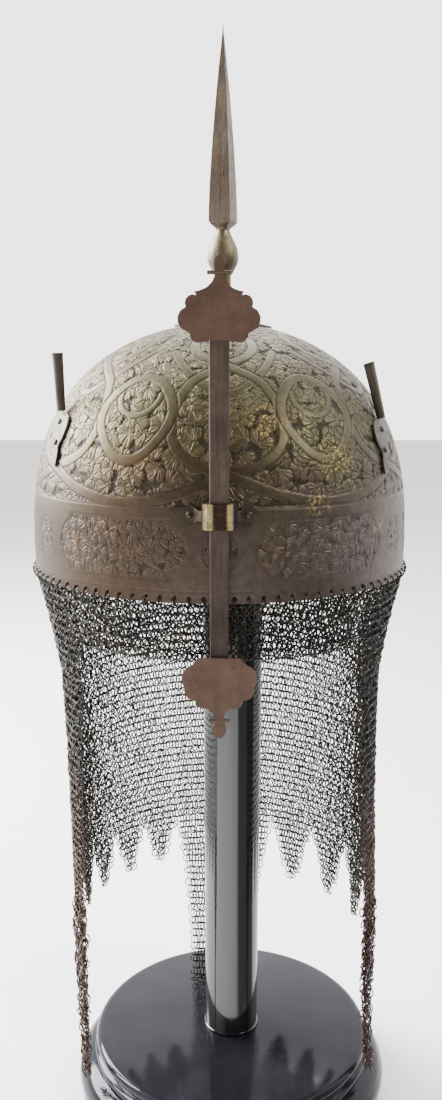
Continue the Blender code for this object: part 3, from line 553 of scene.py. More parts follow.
def knit(name, node, centres, across, down, order, mess):
    """Mesh of rings that stands for one mail solid. Mess is 1 where the mail hangs open and more
    where it is bunched: the rings there lie at all angles."""
    count = len(centres)
    jitter = rng.normal(0.0, 0.16, (count, 3)) * mess[:, None]
    tilt = np.where(order % 2 == 0, TILT, -TILT) + rng.normal(0.0, math.radians(7.0), count) * mess
    turn = rng.normal(0.0, math.radians(9.0), count)[:, None] * mess[:, None]
    normal = np.cross(across, down)
    across = unit(across * np.cos(turn) + normal * np.sin(turn))
    radius = RING_RADIUS * rng.uniform(0.94, 1.06, count)
    points = ring_points(centres + jitter, across, unit(down), tilt, radius, WIRE_RADIUS)
    piece = make_piece(name, points, ring_quads(count))
    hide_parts(node)
    print(name, "rings", count)
    return piece


def frames(place, low, drop, side):
    """Level and downward directions of the curtain at each ring, by small differences."""
    across = unit(place(low + 0.2, drop, side) - place(low - 0.2, drop, side))
    down = unit(place(low, drop + 0.5, side) - place(low, drop - 0.5, side))
    return across, down


def curtain_lattice(first, last, longest):
    """Strand angles and drops of every lattice place from the rim to the longest tooth's tip."""
    rows = int((MAIL_DROP + longest) / ROW_PITCH)
    columns = int(round((last - first) * STRANDS_PER_DEGREE))
    row, column = np.meshgrid(np.arange(rows), np.arange(columns), indexing="ij")
    low = first + (column + 0.25 + 0.5 * (row % 2)) / columns * (last - first)
    drop = (row + 0.65) * ROW_PITCH
    return low.ravel(), drop.ravel(), (row + column).ravel(), row.ravel()


def in_teeth(low, drop, side_name):
    """True inside the curtain or inside one of its pointed teeth."""
    count, length = TEETH[side_name]
    width = (156.0 - 71.0) / count
    place = (low - 71.0) / width
    away = np.abs(place - np.floor(place) - 0.5) * 2.0
    share = (drop - MAIL_DROP + 1.0) / length
    inside = away <= 1.0 - 0.86 * share
    return (share <= 0.0) | ((low > 71.0) & (share < 1.0) & inside)


# %% [markdown]
# The long tails at the front corners and the long point at the back narrow by dropping strands.
# Each follows the rows of its solid: a few cross rows of points, and any place between them is a
# straight blend.

# %% tails and back point
BASE_RADIUS = 100.0
BASE_HEIGHT = 45.0
TAIL_TIP = {"left": (0.995, 0.77), "right": (0.955, 0.85)}
TAIL_TAPER = [(0.33, 0.85), (0.48, 0.64), (0.66, 0.48), (0.85, 0.44), (1.00, 0.40)]
BACK_TAPER = [(0.34, 0.86), (0.70, 0.70), (0.93, 0.63), (1.00, 0.60)]
SIDES = {"left": -1.0, "right": 1.0}


def tail_rows(name):
    """Cross rows of a front tail, from the curtain's edge to the tip above the base."""
    side = SIDES[name]
    top = np.stack([hang_point(np.array(a), np.array(MAIL_DROP), side) for a in (58.0, 64.5, 71.0)])
    across = unit(top[2] - top[0])
    half = np.linalg.norm(top[2] - top[0]) / 2.0
    tip_share, height_share = TAIL_TIP[name]
    flat = unit(np.array([top[1][0], top[1][1], 0.0]))
    tip = flat * BASE_RADIUS * tip_share
    tip[2] = BASE_HEIGHT * height_share
    rows = [top]
    for share, width in TAIL_TAPER:
        centre = top[1] + (tip - top[1]) * np.array([share ** 4, share ** 4, share])
        rows.append(centre + across * np.array([[-1.0], [0.0], [1.0]]) * width * half)
    return np.stack(rows)


def back_rows():
    """Cross rows of the back point: down, in towards the stand, and a tongue on the base."""
    low = 180.0 + np.array([-23.8, -11.9, 0.0, 11.9, 23.8])
    mirrored = hang_point(180.0 - np.abs(low - 180.0), np.full(5, MAIL_DROP), 1.0)
    sway_x = MAIL_SWAY + HELMET_X
    mirrored[low > 180.0, 0] = 2.0 * sway_x - mirrored[low > 180.0, 0]
    across = unit(mirrored[-1] - mirrored[0])
    touch = np.array([HELMET_X, 51.0, 46.3])
    start = mirrored[2]
    steps = np.linspace(-1.0, 1.0, 5)[:, None]
    rows = [mirrored]
    for share, width in BACK_TAPER:
        centre = start + (touch - start) * np.array([share ** 2, share ** 2, share])
        rows.append(centre + across * steps * width * 31.0)
    rows.append(np.array([HELMET_X, 33.0, 46.3]) + across * steps * 3.1)
    return np.stack(rows)


def strip_rings(rows, pitch, layers=(0.0,), mess=1.0):
    """Ring places on a narrowing strip: rows at even steps down, strands at even steps across. A
    bunched strip has more layers, each moved off the surface by some millimetres."""
    middle = rows[:, rows.shape[1] // 2]
    fall = np.concatenate([[0.0], np.cumsum(np.linalg.norm(np.diff(middle, axis=0), axis=1))])
    centres, acrosses, downs, orders = [], [], [], []
    shares = np.linspace(-1.0, 1.0, rows.shape[1])
    spread = 4.0 * rng.normal(0.0, 0.2, (len(layers), 99))
    places = [(k, layer) for k in range(int(fall[-1] / ROW_PITCH)) for layer in range(len(layers))]
    for k, layer in places:
        along = (k + 0.65) * ROW_PITCH
        row = np.stack([[np.interp(along, fall, rows[:, j, c]) for c in range(3)] for j in range(rows.shape[1])])
        ahead = np.array([np.interp(along + 1.0, fall, middle[:, c]) for c in range(3)])
        behind = np.array([np.interp(along - 1.0, fall, middle[:, c]) for c in range(3)])
        width = np.linalg.norm(row[-1] - row[0])
        count = max(2, int(width / pitch))
        spots = (np.arange(count) - (count - 1) / 2.0 + (0.25 if k % 2 else -0.25)) * pitch / (width / 2.0)
        spots = np.clip(spots, -1.0, 1.0)
        level = unit(row[-1] - row[0])
        fallen = unit(ahead - behind)
        lift = np.cross(level, fallen) * (layers[layer] + (mess - 1.0) * spread[layer, k] * 0.3)
        centres.append(np.stack([np.interp(spots, shares, row[:, c]) for c in range(3)], axis=-1) + lift)
        acrosses.append(np.repeat(level[None], count, axis=0))
        downs.append(np.repeat(fallen[None], count, axis=0))
        orders.append(np.arange(count) + k)
    parts = [np.concatenate(part) for part in (centres, acrosses, downs, orders)]
    return parts + [np.full(len(parts[0]), mess)]


# %% knit the sides
TAIL_LAYERS = (-1.2, 1.2)
TAIL_MESS = 2.0
mail_pieces = []
for side_name, side in SIDES.items():
    low, drop, order, row = curtain_lattice(58.0, 155.8, TEETH[side_name][1])
    keep = in_teeth(low, drop, side_name)
    low, drop, order = low[keep], drop[keep], order[keep]
    level, down = frames(hang_point, low, drop, side)
    tail = strip_rings(tail_rows(side_name), 2.6, TAIL_LAYERS, TAIL_MESS)
    open_mail = (hang_point(low, drop, side), level, down, order, np.ones(len(low)))
    joined = [np.concatenate(pair) for pair in zip(open_mail, tail)]
    mail_pieces.append(knit("mail_rings_" + side_name, "mail_" + side_name, *joined))

# %% [markdown]
# The back panel closes the curtain behind, and the fringe over the brow is only some seven rows
# deep. Where the fringe meets the curtain's front corners the two are one knit.

# %% knit the back and the fringe
low, drop, order, row = curtain_lattice(156.2, 180.0, 0.0)
halves = []
for side in (1.0, -1.0):
    level, down = frames(hang_point, low, drop, side)
    halves.append((hang_point(low, drop, side), level, down, order, np.ones(len(low))))
halves.append(strip_rings(back_rows(), 2.05))
joined = [np.concatenate(part) for part in zip(*halves)]
mail_pieces.append(knit("mail_rings_back", "mail_back", *joined))

FRINGE_HALF_ANGLE = 43.0
FRINGE_DROP = 30.0


def fringe_point(angle, drop, side):
    """Point of the fringe: a short wall round the brow, drawn in a little at its lower edge."""
    radius = RIM_RADIUS * 0.9925 - 2.0 * drop / FRINGE_DROP
    turn = np.radians(angle)
    return np.stack([HELMET_X + radius * np.sin(turn), -radius * np.cos(turn), RIM_Z - 0.3 - drop], axis=-1)


rows = int(FRINGE_DROP / ROW_PITCH)
columns = 60
row, column = np.meshgrid(np.arange(rows), np.arange(columns), indexing="ij")
angle = (-FRINGE_HALF_ANGLE + (column + 0.25 + 0.5 * (row % 2)) / columns * 2.0 * FRINGE_HALF_ANGLE).ravel()
drop = ((row + 0.65) * ROW_PITCH).ravel()
level, down = frames(fringe_point, angle, drop, 1.0)
mail_pieces.append(knit("mail_rings_fringe", "mail_fringe", fringe_point(angle, drop, 1.0), level, down,
                        (row + column).ravel(), np.ones(len(angle))))

# %% [markdown]
# The first rings go through the small holes along the rim. They stand in upright planes, square
# to the rim, half of each above its edge and half below.

# %% rim rings
turn = np.radians((np.arange(HOLE_COUNT)) * 360.0 / HOLE_COUNT)
outward = np.stack([np.sin(turn), -np.cos(turn), np.zeros(HOLE_COUNT)], axis=-1)
centre = outward * (RIM_RADIUS - BOWL_WALL / 2.0) + np.array([HELMET_X, 0.0, RIM_Z + 0.9])
down = np.repeat(np.array([[0.0, 0.0, -1.0]]), HOLE_COUNT, axis=0)
lean = rng.normal(0.0, math.radians(8.0), HOLE_COUNT)
points = ring_points(centre, outward, down, lean, np.full(HOLE_COUNT, 2.35), WIRE_RADIUS)
rim_rings = make_piece("rim_rings", points, ring_quads(HOLE_COUNT))
mail_pieces.append(rim_rings)

# %% [markdown]
# The spike is one forging: a round stem, a pear-shaped bulb, a thin neck and a square blade. Round
# and square are the same loop of points: the radius in each direction is a blend between 1 and
# 1/max(|cos|, |sin|), which is a square. The blend goes from 0 to 1 at the blade's shoulder.

# %% spike
SPIKE_AXIS = (HELMET_X + 1.8, 0.0)
BLADE_TURN = math.radians(-20.0)
BLADE_HALF = 5.55
spike_low, spike_high = (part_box("spike")[k].z / MM for k in (0, 1))
SPIKE_SECTIONS = np.array([
    (0.0, 4.05, 0.0), (17.0, 4.05, 0.0), (18.6, 4.2, 0.0), (19.4, 5.0, 0.0), (20.2, 5.4, 0.0), (21.6, 6.2, 0.0),
    (24.0, 7.4, 0.0), (27.0, 7.8, 0.0), (30.5, 7.2, 0.0), (33.5, 5.9, 0.0), (36.3, 4.3, 0.0), (38.6, 3.4, 0.0),
    (39.6, 3.5, 0.25), (40.4, 4.1, 0.6), (41.4, 4.9, 0.85), (42.4, 5.45, 1.0), (43.2, 5.55, 1.0),
])


def loft_rings(name, sections, centre, turn, sides):
    """Closed piece of rings round an upright axis. Each section gives height, half width, and
    squareness from 0 (round) to 1 (square)."""
    angle = np.arange(sides) * 2.0 * math.pi / sides
    stretch = 1.0 / np.maximum(np.abs(np.cos(angle)), np.abs(np.sin(angle)))
    radius = sections[:, 1:2] * (1.0 + sections[:, 2:3] * (stretch - 1.0)[None, :])
    x = centre[0] + radius * np.cos(angle + turn)
    y = centre[1] + radius * np.sin(angle + turn)
    z = np.repeat(sections[:, 0:1], sides, axis=1)
    points = np.stack([x, y, z], axis=-1).reshape(-1, 3)
    rows = len(sections)
    first = (np.arange(rows - 1)[:, None] * sides + np.arange(sides)[None, :]).ravel()
    after = (np.arange(rows - 1)[:, None] * sides + (np.arange(sides)[None, :] + 1) % sides).ravel()
    quads = np.stack([first, after, after + sides, first + sides], axis=1)
    caps = [list(range(sides))[::-1], list(range((rows - 1) * sides, rows * sides))]
    return make_piece(name, points, quads, extra=caps)


blade_share = np.linspace(0.0, 1.0, 40)[1:]
blade = np.stack([43.2 + blade_share * (spike_high - spike_low - 43.2),
                  np.maximum(BLADE_HALF * (1.0 - blade_share ** 1.5), 0.2), np.ones(39)], axis=-1)
smooth_part = smooth_path(SPIKE_SECTIONS, 4)
spike_sections = np.concatenate([smooth_part, blade])
spike_sections[:, 0] += spike_low
spike_sections[:, 2] = np.clip(spike_sections[:, 2], 0.0, 1.0)
spike = sharpen(loft_rings("spike_forging", spike_sections, SPIKE_AXIS, BLADE_TURN, 48), 25.0)
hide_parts("spike")
print("spike from", round(spike_low), "to", round(spike_high))

# %% [markdown]
# The stand's base is turned: a flat top with a rounded edge, a groove, a thin ring and a fat
# torus. The same loft makes it from its profile, with many more sides than the plain solid, so the
# lacquer's reflections run round smoothly. A thin ring is left at the foot of the column.

# %% stand
BASE_PROFILE = np.array([
    (0.000, 0.960), (0.060, 0.982), (0.085, 0.978), (0.100, 0.962), (0.180, 0.962), (0.270, 0.992), (0.380, 1.000),
    (0.490, 0.988), (0.580, 0.955), (0.640, 0.905), (0.662, 0.874), (0.680, 0.876), (0.700, 0.888), (0.735, 0.893),
    (0.770, 0.888), (0.790, 0.870), (0.805, 0.857), (0.830, 0.858), (0.870, 0.874), (0.910, 0.881), (0.945, 0.878),
    (0.975, 0.867), (0.992, 0.852), (1.000, 0.835),
])


def turned_sections(profile, steps):
    """Ring sections from a smooth profile of (height share, radius share) of the base."""
    curve = smooth_path(profile, steps)
    return np.stack([np.clip(curve[:, 0], 0.0, 1.0) * BASE_HEIGHT, curve[:, 1] * BASE_RADIUS, np.zeros(len(curve))], axis=-1)


base_sections = turned_sections(BASE_PROFILE, 3)
base = sharpen(loft_rings("turned_base", base_sections, (0.0, 0.0), 0.0, 160), 60.0)
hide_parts("stand_base")
column_low, column_high = (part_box("stand_column")[k].z / MM for k in (0, 1))
COLUMN_RADIUS = 16.6
FOOT_RING = 17.6
column_sections = np.array([
    (column_low, 16.9, 0.0), (column_low + 0.1, FOOT_RING - 0.1, 0.0), (column_low + 0.5, FOOT_RING, 0.0),
    (column_low + 0.9, FOOT_RING - 0.1, 0.0), (column_low + 1.1, 16.7, 0.0), (column_low + 1.3, COLUMN_RADIUS, 0.0),
    ((column_low + column_high) / 2.0, COLUMN_RADIUS, 0.0), (column_high - 0.5, COLUMN_RADIUS, 0.0),
    (column_high, COLUMN_RADIUS - 0.5, 0.0),
])
column = sharpen(loft_rings("turned_column", column_sections, (0.0, 0.0), 0.0, 128), 60.0)
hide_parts("stand_column")

# %% [markdown]
# Materials come next. One helper starts a material and lets the others read like a recipe: a noise
# here, a mix of two colours there, a bump from a fine grain. All patterns read Object coordinates,
# in metres, so a feature of one millimetre has a scale near one thousand.

# %% material helpers


class Finish:
    """A material under construction, with short names for the nodes used here."""

    def __init__(self, name):
        self.material = bpy.data.materials.new(name)
        self.material.use_nodes = True
        self.nodes = self.material.node_tree.nodes
        self.links = self.material.node_tree.links
        self.shader = self.nodes["Principled BSDF"]
        self.place = self.nodes.new("ShaderNodeTexCoord").outputs["Object"]

    def noise(self, scale, detail=4.0, rough=0.6, stretch=None):
        """Noise from 0 to 1 on Object coordinates, stretched if asked."""
        node = self.nodes.new("ShaderNodeTexNoise")
        node.inputs["Scale"].default_value = scale
        node.inputs["Detail"].default_value = detail
        node.inputs["Roughness"].default_value = rough
        source = self.place
        if stretch:
            mapping = self.nodes.new("ShaderNodeMapping")
            mapping.inputs["Scale"].default_value = stretch
            self.links.new(self.place, mapping.inputs["Vector"])
            source = mapping.outputs["Vector"]
        self.links.new(source, node.inputs["Vector"])
        return node.outputs["Fac"]

    def ramp(self, value, stops):
        """Colour ramp through (place, colour) stops; a plain number is a grey."""
        node = self.nodes.new("ShaderNodeValToRGB")
        ramp = node.color_ramp
        while len(ramp.elements) < len(stops):
            ramp.elements.new(0.5)
        for element, (place, colour) in zip(ramp.elements, stops):
            element.position = place
            shade = (colour,) * 3 if isinstance(colour, float) else colour
            element.color = (*shade, 1.0)
        self.links.new(value, node.inputs["Fac"])
        return node.outputs["Color"]

    def mix(self, factor, first, second, mode="MIX"):
        """Blend of two colours or sockets by a factor or a socket."""
        node = self.nodes.new("ShaderNodeMix")
        node.data_type = "RGBA"
        node.blend_type = mode
        for socket, value in ((node.inputs[0], factor), (node.inputs[6], first), (node.inputs[7], second)):
            if isinstance(value, bpy.types.NodeSocket):
                self.links.new(value, socket)
            elif isinstance(value, float):
                socket.default_value = value
            else:
                socket.default_value = (*value, 1.0)
        return node.outputs[2]

    def attribute(self, name):
        """Value of a point attribute of the mesh."""
        node = self.nodes.new("ShaderNodeAttribute")
        node.attribute_name = name
        return node.outputs["Fac"]

    def axis(self, letter):
        """One of the Object coordinates, in metres."""
        node = self.nodes.new("ShaderNodeSeparateXYZ")
        self.links.new(self.place, node.inputs["Vector"])
        return node.outputs[letter]

    def remap(self, value, low, high, to_low=0.0, to_high=1.0):
        """Value moved from one range to another, clamped."""
        node = self.nodes.new("ShaderNodeMapRange")
        for socket, number in zip(node.inputs[1:5], (low, high, to_low, to_high)):
            socket.default_value = number
        self.links.new(value, node.inputs[0])
        return node.outputs[0]

    def maths(self, kind, first, second):
        """Arithmetic on two values or sockets."""
        node = self.nodes.new("ShaderNodeMath")
        node.operation = kind
        for socket, value in zip(node.inputs, (first, second)):
            if isinstance(value, bpy.types.NodeSocket):
                self.links.new(value, socket)
            else:
                socket.default_value = value
        return node.outputs[0]

    def bump(self, value, strength, distance):
        """Small height pattern on the shading normal."""
        node = self.nodes.new("ShaderNodeBump")
        node.inputs["Strength"].default_value = strength
        node.inputs["Distance"].default_value = distance
        self.links.new(value, node.inputs["Height"])
        self.links.new(node.outputs["Normal"], self.shader.inputs["Normal"])

    def feed(self, **sockets):
        """Set or link the shader's own sockets by name, with _ for a space."""
        for name, value in sockets.items():
            socket = self.shader.inputs[name.replace("_", " ")]
            if isinstance(value, bpy.types.NodeSocket):
                self.links.new(value, socket)
            else:
                socket.default_value = (*value, 1.0) if isinstance(value, tuple) else value
        return self.material


def dress(material, *pieces):
    """Give the material to pieces by assigning to their slots."""
    for piece in pieces:
        if not piece.material_slots:
            piece.data.materials.append(material)
        for slot in piece.material_slots:
            slot.material = material


# %% [markdown]
# The bowl's steel has an old patina, brown with olive and violet patches, worn lighter on the high
# ground. The cut ground is full of dark dirt, and a little gilding is left along some edges. Over it
# lies painted light: a tint makes the upper left lighter, the lower left darker, the lower right much
# lighter and bluer and the upper right a little darker, fading out towards the back.

# %% bowl steel
steel = Finish("bowl_patina")
olive = (0.056, 0.047, 0.025)
violet_brown = (0.050, 0.034, 0.025)
rust_brown = (0.060, 0.035, 0.018)
BAND_TOP_HEIGHT = 0.392
UPPER_HEIGHT = 0.440
raised = steel.remap(steel.axis("Z"), BAND_TOP_HEIGHT, UPPER_HEIGHT)
raised = steel.maths("ADD", raised, steel.remap(steel.noise(18.0, 3.0), 0.3, 0.7, -0.45, 0.45))
patches = steel.ramp(raised, [(0.25, violet_brown), (0.75, olive)])
patches = steel.mix(steel.remap(steel.noise(26.0, 4.0), 0.52, 0.72, 0.0, 0.8), patches, rust_brown)
mottle = steel.ramp(steel.noise(260.0, 6.0, 0.7), [(0.30, 0.72), (0.70, 1.25)])
worn = steel.mix(1.0, patches, mottle, "MULTIPLY")
gold_grain = steel.remap(steel.noise(520.0, 5.0, 0.7), 0.52, 0.62)
gold = steel.maths("MULTIPLY", steel.remap(steel.noise(55.0, 5.0, 0.7), 0.64, 0.76), 0.3)
GOLD_RUBS = [((0.0475, -0.0756, 0.4100), 0.013), ((0.0383, -0.0860, 0.3920), 0.008), ((0.0120, -0.0800, 0.4260), 0.010)]
for centre, reach in GOLD_RUBS:
    apart = steel.nodes.new("ShaderNodeVectorMath")
    apart.operation = "DISTANCE"
    apart.inputs[1].default_value = centre
    steel.links.new(steel.place, apart.inputs[0])
    near = steel.remap(apart.outputs["Value"], reach, 0.3 * reach, 0.0, 0.8)
    gold = steel.maths("MAXIMUM", gold, steel.maths("MULTIPLY", near, gold_grain))
gilded = steel.mix(gold, worn, (0.38, 0.25, 0.07))
# Painted light: these four tints make the bowl lighter at the upper left, darker at the lower left, much lighter and
# bluer at the lower right and a little darker at the upper right; towards the back they fade to no tint.
PAINTED_LIGHT_LEFT_LOW, PAINTED_LIGHT_LEFT_HIGH = (0.86, 0.79, 0.62), (1.32, 1.28, 1.00)
PAINTED_LIGHT_RIGHT_LOW, PAINTED_LIGHT_RIGHT_HIGH = (1.65, 1.90, 2.30), (0.96, 0.97, 0.86)
painted_light_rightward = steel.remap(steel.axis("X"), -0.05, 0.05)
height_share = steel.remap(steel.axis("Z"), 0.380, 0.405)
shade = steel.mix(height_share, steel.mix(painted_light_rightward, PAINTED_LIGHT_LEFT_LOW, PAINTED_LIGHT_RIGHT_LOW), steel.mix(painted_light_rightward, PAINTED_LIGHT_LEFT_HIGH, PAINTED_LIGHT_RIGHT_HIGH))
EVEN, STRAP_SHADE, LEAF_SHADE = (1.0, 1.0, 1.0), (0.84, 0.84, 0.84), (1.06, 1.06, 1.06)
shade = steel.mix(steel.remap(steel.axis("Y"), -0.03, 0.03), shade, EVEN)
by_field = steel.mix(steel.attribute("filled"), STRAP_SHADE, LEAF_SHADE)
shade = steel.mix(1.0, shade, steel.mix(height_share, EVEN, by_field), "MULTIPLY")
painted_light_patina = steel.mix(1.0, gilded, shade, "MULTIPLY")

# %% [markdown]
# The veins and the lines between petals are finer than the mesh, so they are bump. Each point of
# the mesh knows its place on its leaf, and the shader works out the petal lines from that place:
# the angle times the number of petals gives a wave, and the wave's zeros are the lines.

# %% leaf veins in the shader
leaf = steel.nodes.new("ShaderNodeAttribute")
leaf.attribute_name = "leaf_place"
leaf_split = steel.nodes.new("ShaderNodeSeparateXYZ")
steel.links.new(leaf.outputs["Vector"], leaf_split.inputs["Vector"])
along, across, petals = (leaf_split.outputs[letter] for letter in "XYZ")
leaf_angle = steel.maths("ARCTAN2", across, along)
squares = steel.maths("ADD", steel.maths("MULTIPLY", along, along), steel.maths("MULTIPLY", across, across))
leaf_reach = steel.maths("SQRT", squares, 0.0)
wave = steel.maths("MULTIPLY", steel.maths("MULTIPLY", leaf_angle, petals), 0.5)
arc_share = steel.maths("DIVIDE", leaf_reach, petals)
petal_gap = steel.maths("MULTIPLY", steel.maths("ABSOLUTE", steel.maths("COSINE", wave, 0.0), 0.0), arc_share)
petal_rib = steel.maths("MULTIPLY", steel.maths("ABSOLUTE", steel.maths("SINE", wave, 0.0), 0.0), arc_share)
gap_line = steel.remap(petal_gap, 0.05, 0.24, 1.0, 0.0)
rib_line = steel.remap(petal_rib, 0.0, 0.14, 0.7, 0.0)
hatch_wave = steel.maths("SINE", steel.maths("MULTIPLY", wave, 5.0), 0.0)
hatch = steel.remap(hatch_wave, 0.2, 1.0, 0.0, 0.45)
vein_lines = steel.maths("MAXIMUM", steel.maths("MAXIMUM", gap_line, rib_line), hatch)
away_from_root = steel.remap(leaf_reach, 0.8, 1.6, 0.0, 1.0)
vein_lines = steel.maths("MULTIPLY", vein_lines, away_from_root)
vein_lines = steel.maths("MULTIPLY", vein_lines, steel.attribute("filled"))

# %% dirt, roughness and bump of the bowl
dirt = steel.maths("ADD", steel.attribute("dirt"), steel.maths("MULTIPLY", vein_lines, 0.42))
dirt_soft = steel.ramp(dirt, [(0.20, 0.0), (0.55, 0.28), (1.0, 0.66)])
colour = steel.mix(dirt_soft, painted_light_patina, (0.014, 0.011, 0.008))
rough = steel.ramp(steel.noise(420.0, 5.0), [(0.3, 0.38), (0.7, 0.52)])
rough = steel.mix(dirt_soft, rough, (0.70, 0.70, 0.70))
grain = steel.maths("MULTIPLY", steel.noise(900.0, 6.0, 0.7), 0.35)
steel.bump(steel.maths("SUBTRACT", grain, vein_lines), 0.8, 0.0003)
dress(steel.feed(Base_Color=colour, Metallic=0.78, Roughness=rough), *bowl_pieces)

# %% mail iron
iron = Finish("mail_ring_iron")
iron_colour = iron.ramp(iron.noise(60.0, 5.0), [(0.35, (0.013, 0.012, 0.010)), (0.60, (0.022, 0.018, 0.013)),
                                                (0.75, (0.042, 0.025, 0.015))])
TAIL_TOP, TAIL_LOW = 0.270, 0.170
low_down = iron.remap(iron.axis("Z"), TAIL_TOP, TAIL_LOW)
in_front = iron.remap(iron.axis("Y"), 0.01, -0.03)
rusty = iron.maths("MULTIPLY", iron.maths("MULTIPLY", low_down, in_front), 0.8)
iron_colour = iron.mix(rusty, iron_colour, (0.060, 0.034, 0.026))
iron_rough = iron.ramp(iron.noise(300.0), [(0.3, 0.38), (0.7, 0.6)])
dress(iron.feed(Base_Color=iron_colour, Metallic=0.75, Roughness=iron_rough), *mail_pieces)

# %% [markdown]
# The spike and its washer are dark forged steel with fine rust, the nasal a browner rusted iron,
# the bracket worn brass with painted highlights and painted dark reflections in bands across its
# sleeve, and the plume fittings a grey-brown steel.

# %% spike, plume and nasal finishes


def forged(name, dark, light, rust, rough_range, metallic=0.7, rust_start=0.58, grade=None):
    """Forged iron: two tones in patches, rust in small spots, fine pits. A grade is two heights
    and the tint below and above them; a graded bar also has a grain drawn out along it."""
    finish = Finish(name)
    tone = finish.ramp(finish.noise(70.0, 6.0, 0.65), [(0.32, dark), (0.68, light)])
    spots = finish.ramp(finish.noise(330.0, 6.0, 0.75), [(rust_start, 0.0), (rust_start + 0.12, 0.85)])
    tone = finish.mix(spots, tone, rust)
    pits = finish.noise(700.0, 6.0, 0.7)
    if grade:
        streaks = finish.noise(900.0, 4.0, 0.6, (1.0, 1.0, 0.06))
        tone = finish.mix(1.0, tone, finish.ramp(streaks, [(0.35, 0.72), (0.65, 1.15)]), "MULTIPLY")
        pits = finish.maths("ADD", pits, streaks)
        low, high, low_tint, high_tint = grade
        share = finish.remap(finish.axis("Z"), low, high)
        tone = finish.mix(1.0, tone, finish.mix(share, low_tint, high_tint), "MULTIPLY")
    rough = finish.ramp(finish.noise(240.0, 4.0), [(0.3, rough_range[0]), (0.7, rough_range[1])])
    finish.bump(pits, 0.35, 0.0004)
    return finish.feed(Base_Color=tone, Metallic=metallic, Roughness=rough)


NECK_GRADE = (0.513, 0.517, (1.80, 1.70, 1.25), (1.45, 1.27, 1.12))
BAR_GRADE = (0.330, 0.420, (0.80, 0.75, 0.70), (1.70, 1.60, 1.58))
spike_steel = forged("spike_steel", (0.042, 0.034, 0.027), (0.080, 0.066, 0.052), (0.045, 0.024, 0.015), (0.38, 0.58),
                     grade=NECK_GRADE)
dress(spike_steel, spike, nodes["spike_washer"])
finial_iron = forged("finial_rusted_iron", (0.054, 0.028, 0.017), (0.092, 0.050, 0.031), (0.040, 0.018, 0.010),
                     (0.50, 0.70), 0.5)
dress(finial_iron, nodes["nasal_finial_top"], nodes["nasal_finial_bottom"])
bar_iron = forged("bar_iron", (0.026, 0.018, 0.013), (0.046, 0.032, 0.024), (0.020, 0.011, 0.007), (0.42, 0.60), 0.6,
                  grade=BAR_GRADE)
dress(bar_iron, nodes["nasal_bar"])
plume_steel = forged("plume_steel", (0.036, 0.028, 0.019), (0.062, 0.048, 0.034), (0.032, 0.019, 0.012), (0.42, 0.60))
plume_nodes = [nodes[name] for name in nodes if name.startswith("plume_")]
dress(plume_steel, *plume_nodes)

# %% brass bracket
brass = Finish("worn_brass_painted_reflections")
SLEEVE_LEFT = -0.0151
SLEEVE_RIGHT = 0.0001
# Painted reflections: across the sleeve the colour runs in upright bands, a bright painted highlight on each bevel, a
# dark painted reflection over the front face and dark painted shade at its edges.
across_sleeve = brass.remap(brass.axis("X"), SLEEVE_LEFT, SLEEVE_RIGHT)
brass_painted_highlight = (0.34, 0.27, 0.13)
brass_painted_dark_reflection = (0.030, 0.018, 0.010)
sleeve_painted_reflections = brass.ramp(across_sleeve, [(0.0, (0.05, 0.035, 0.02)), (0.10, brass_painted_highlight), (0.28, brass_painted_highlight), (0.34, brass_painted_dark_reflection),
                                     (0.70, brass_painted_dark_reflection), (0.76, (0.30, 0.22, 0.10)), (0.88, (0.42, 0.30, 0.17)),
                                     (0.93, (0.03, 0.02, 0.03))])
brass_mottle = brass.ramp(brass.noise(420.0, 5.0), [(0.35, 0.55), (0.65, 1.2)])
brass_tone = brass.mix(1.0, sleeve_painted_reflections, brass_mottle, "MULTIPLY")
SLEEVE_HALF_WIDTH = 0.0076
reach = brass.maths("ABSOLUTE", brass.maths("SUBTRACT", brass.axis("X"), HELMET_X * MM), 0.0)
on_wing = brass.remap(reach, SLEEVE_HALF_WIDTH, SLEEVE_HALF_WIDTH + 0.0006)
wing_tone = brass.ramp(brass.noise(300.0, 5.0), [(0.35, (0.032, 0.025, 0.017)), (0.7, (0.075, 0.058, 0.040))])
brass.bump(brass.noise(900.0, 5.0), 0.2, 0.0003)
brass_rough = brass.mix(on_wing, brass.ramp(brass.noise(400.0), [(0.3, 0.20), (0.7, 0.36)]), (0.5, 0.5, 0.5))
dress(brass.feed(Base_Color=brass.mix(on_wing, brass_tone, wing_tone), Metallic=0.9, Roughness=brass_rough),
      nodes["nasal_bracket"], nodes["bracket_rivet_left"], nodes["bracket_rivet_right"])

# %% [markdown]
# The stand is turned wood under many coats of black lacquer: almost no colour of its own, all
# reflections, with a hair of haze where hands have polished it.

# %% stand lacquer
lacquer = Finish("black_lacquer")
lacquer_tone = lacquer.ramp(lacquer.noise(30.0, 3.0), [(0.3, (0.006, 0.006, 0.008)), (0.7, (0.012, 0.012, 0.015))])
lacquer_rough = lacquer.ramp(lacquer.noise(220.0, 4.0), [(0.3, 0.06), (0.7, 0.13)])
lacquer.bump(lacquer.noise(40.0, 2.0), 0.02, 0.001)
dress(lacquer.feed(Base_Color=lacquer_tone, Roughness=lacquer_rough, Specular_IOR_Level=0.19,
                   Specular_Tint=(0.88, 0.85, 1.0)),
      base, nodes["stand_head"])

# %% column lacquer
polish = Finish("column_lacquer")
polish_tone = polish.ramp(polish.noise(30.0, 3.0), [(0.3, (0.004, 0.004, 0.005)), (0.7, (0.008, 0.008, 0.010))])
polish_rough = polish.ramp(polish.noise(60.0, 4.0, 0.6, (1.0, 1.0, 0.15)), [(0.3, 0.05), (0.7, 0.12)])
polish.bump(polish.noise(50.0, 2.0, 0.5, (1.0, 1.0, 0.2)), 0.02, 0.001)
dress(polish.feed(Base_Color=polish_tone, Roughness=polish_rough, Specular_IOR_Level=0.65), column)
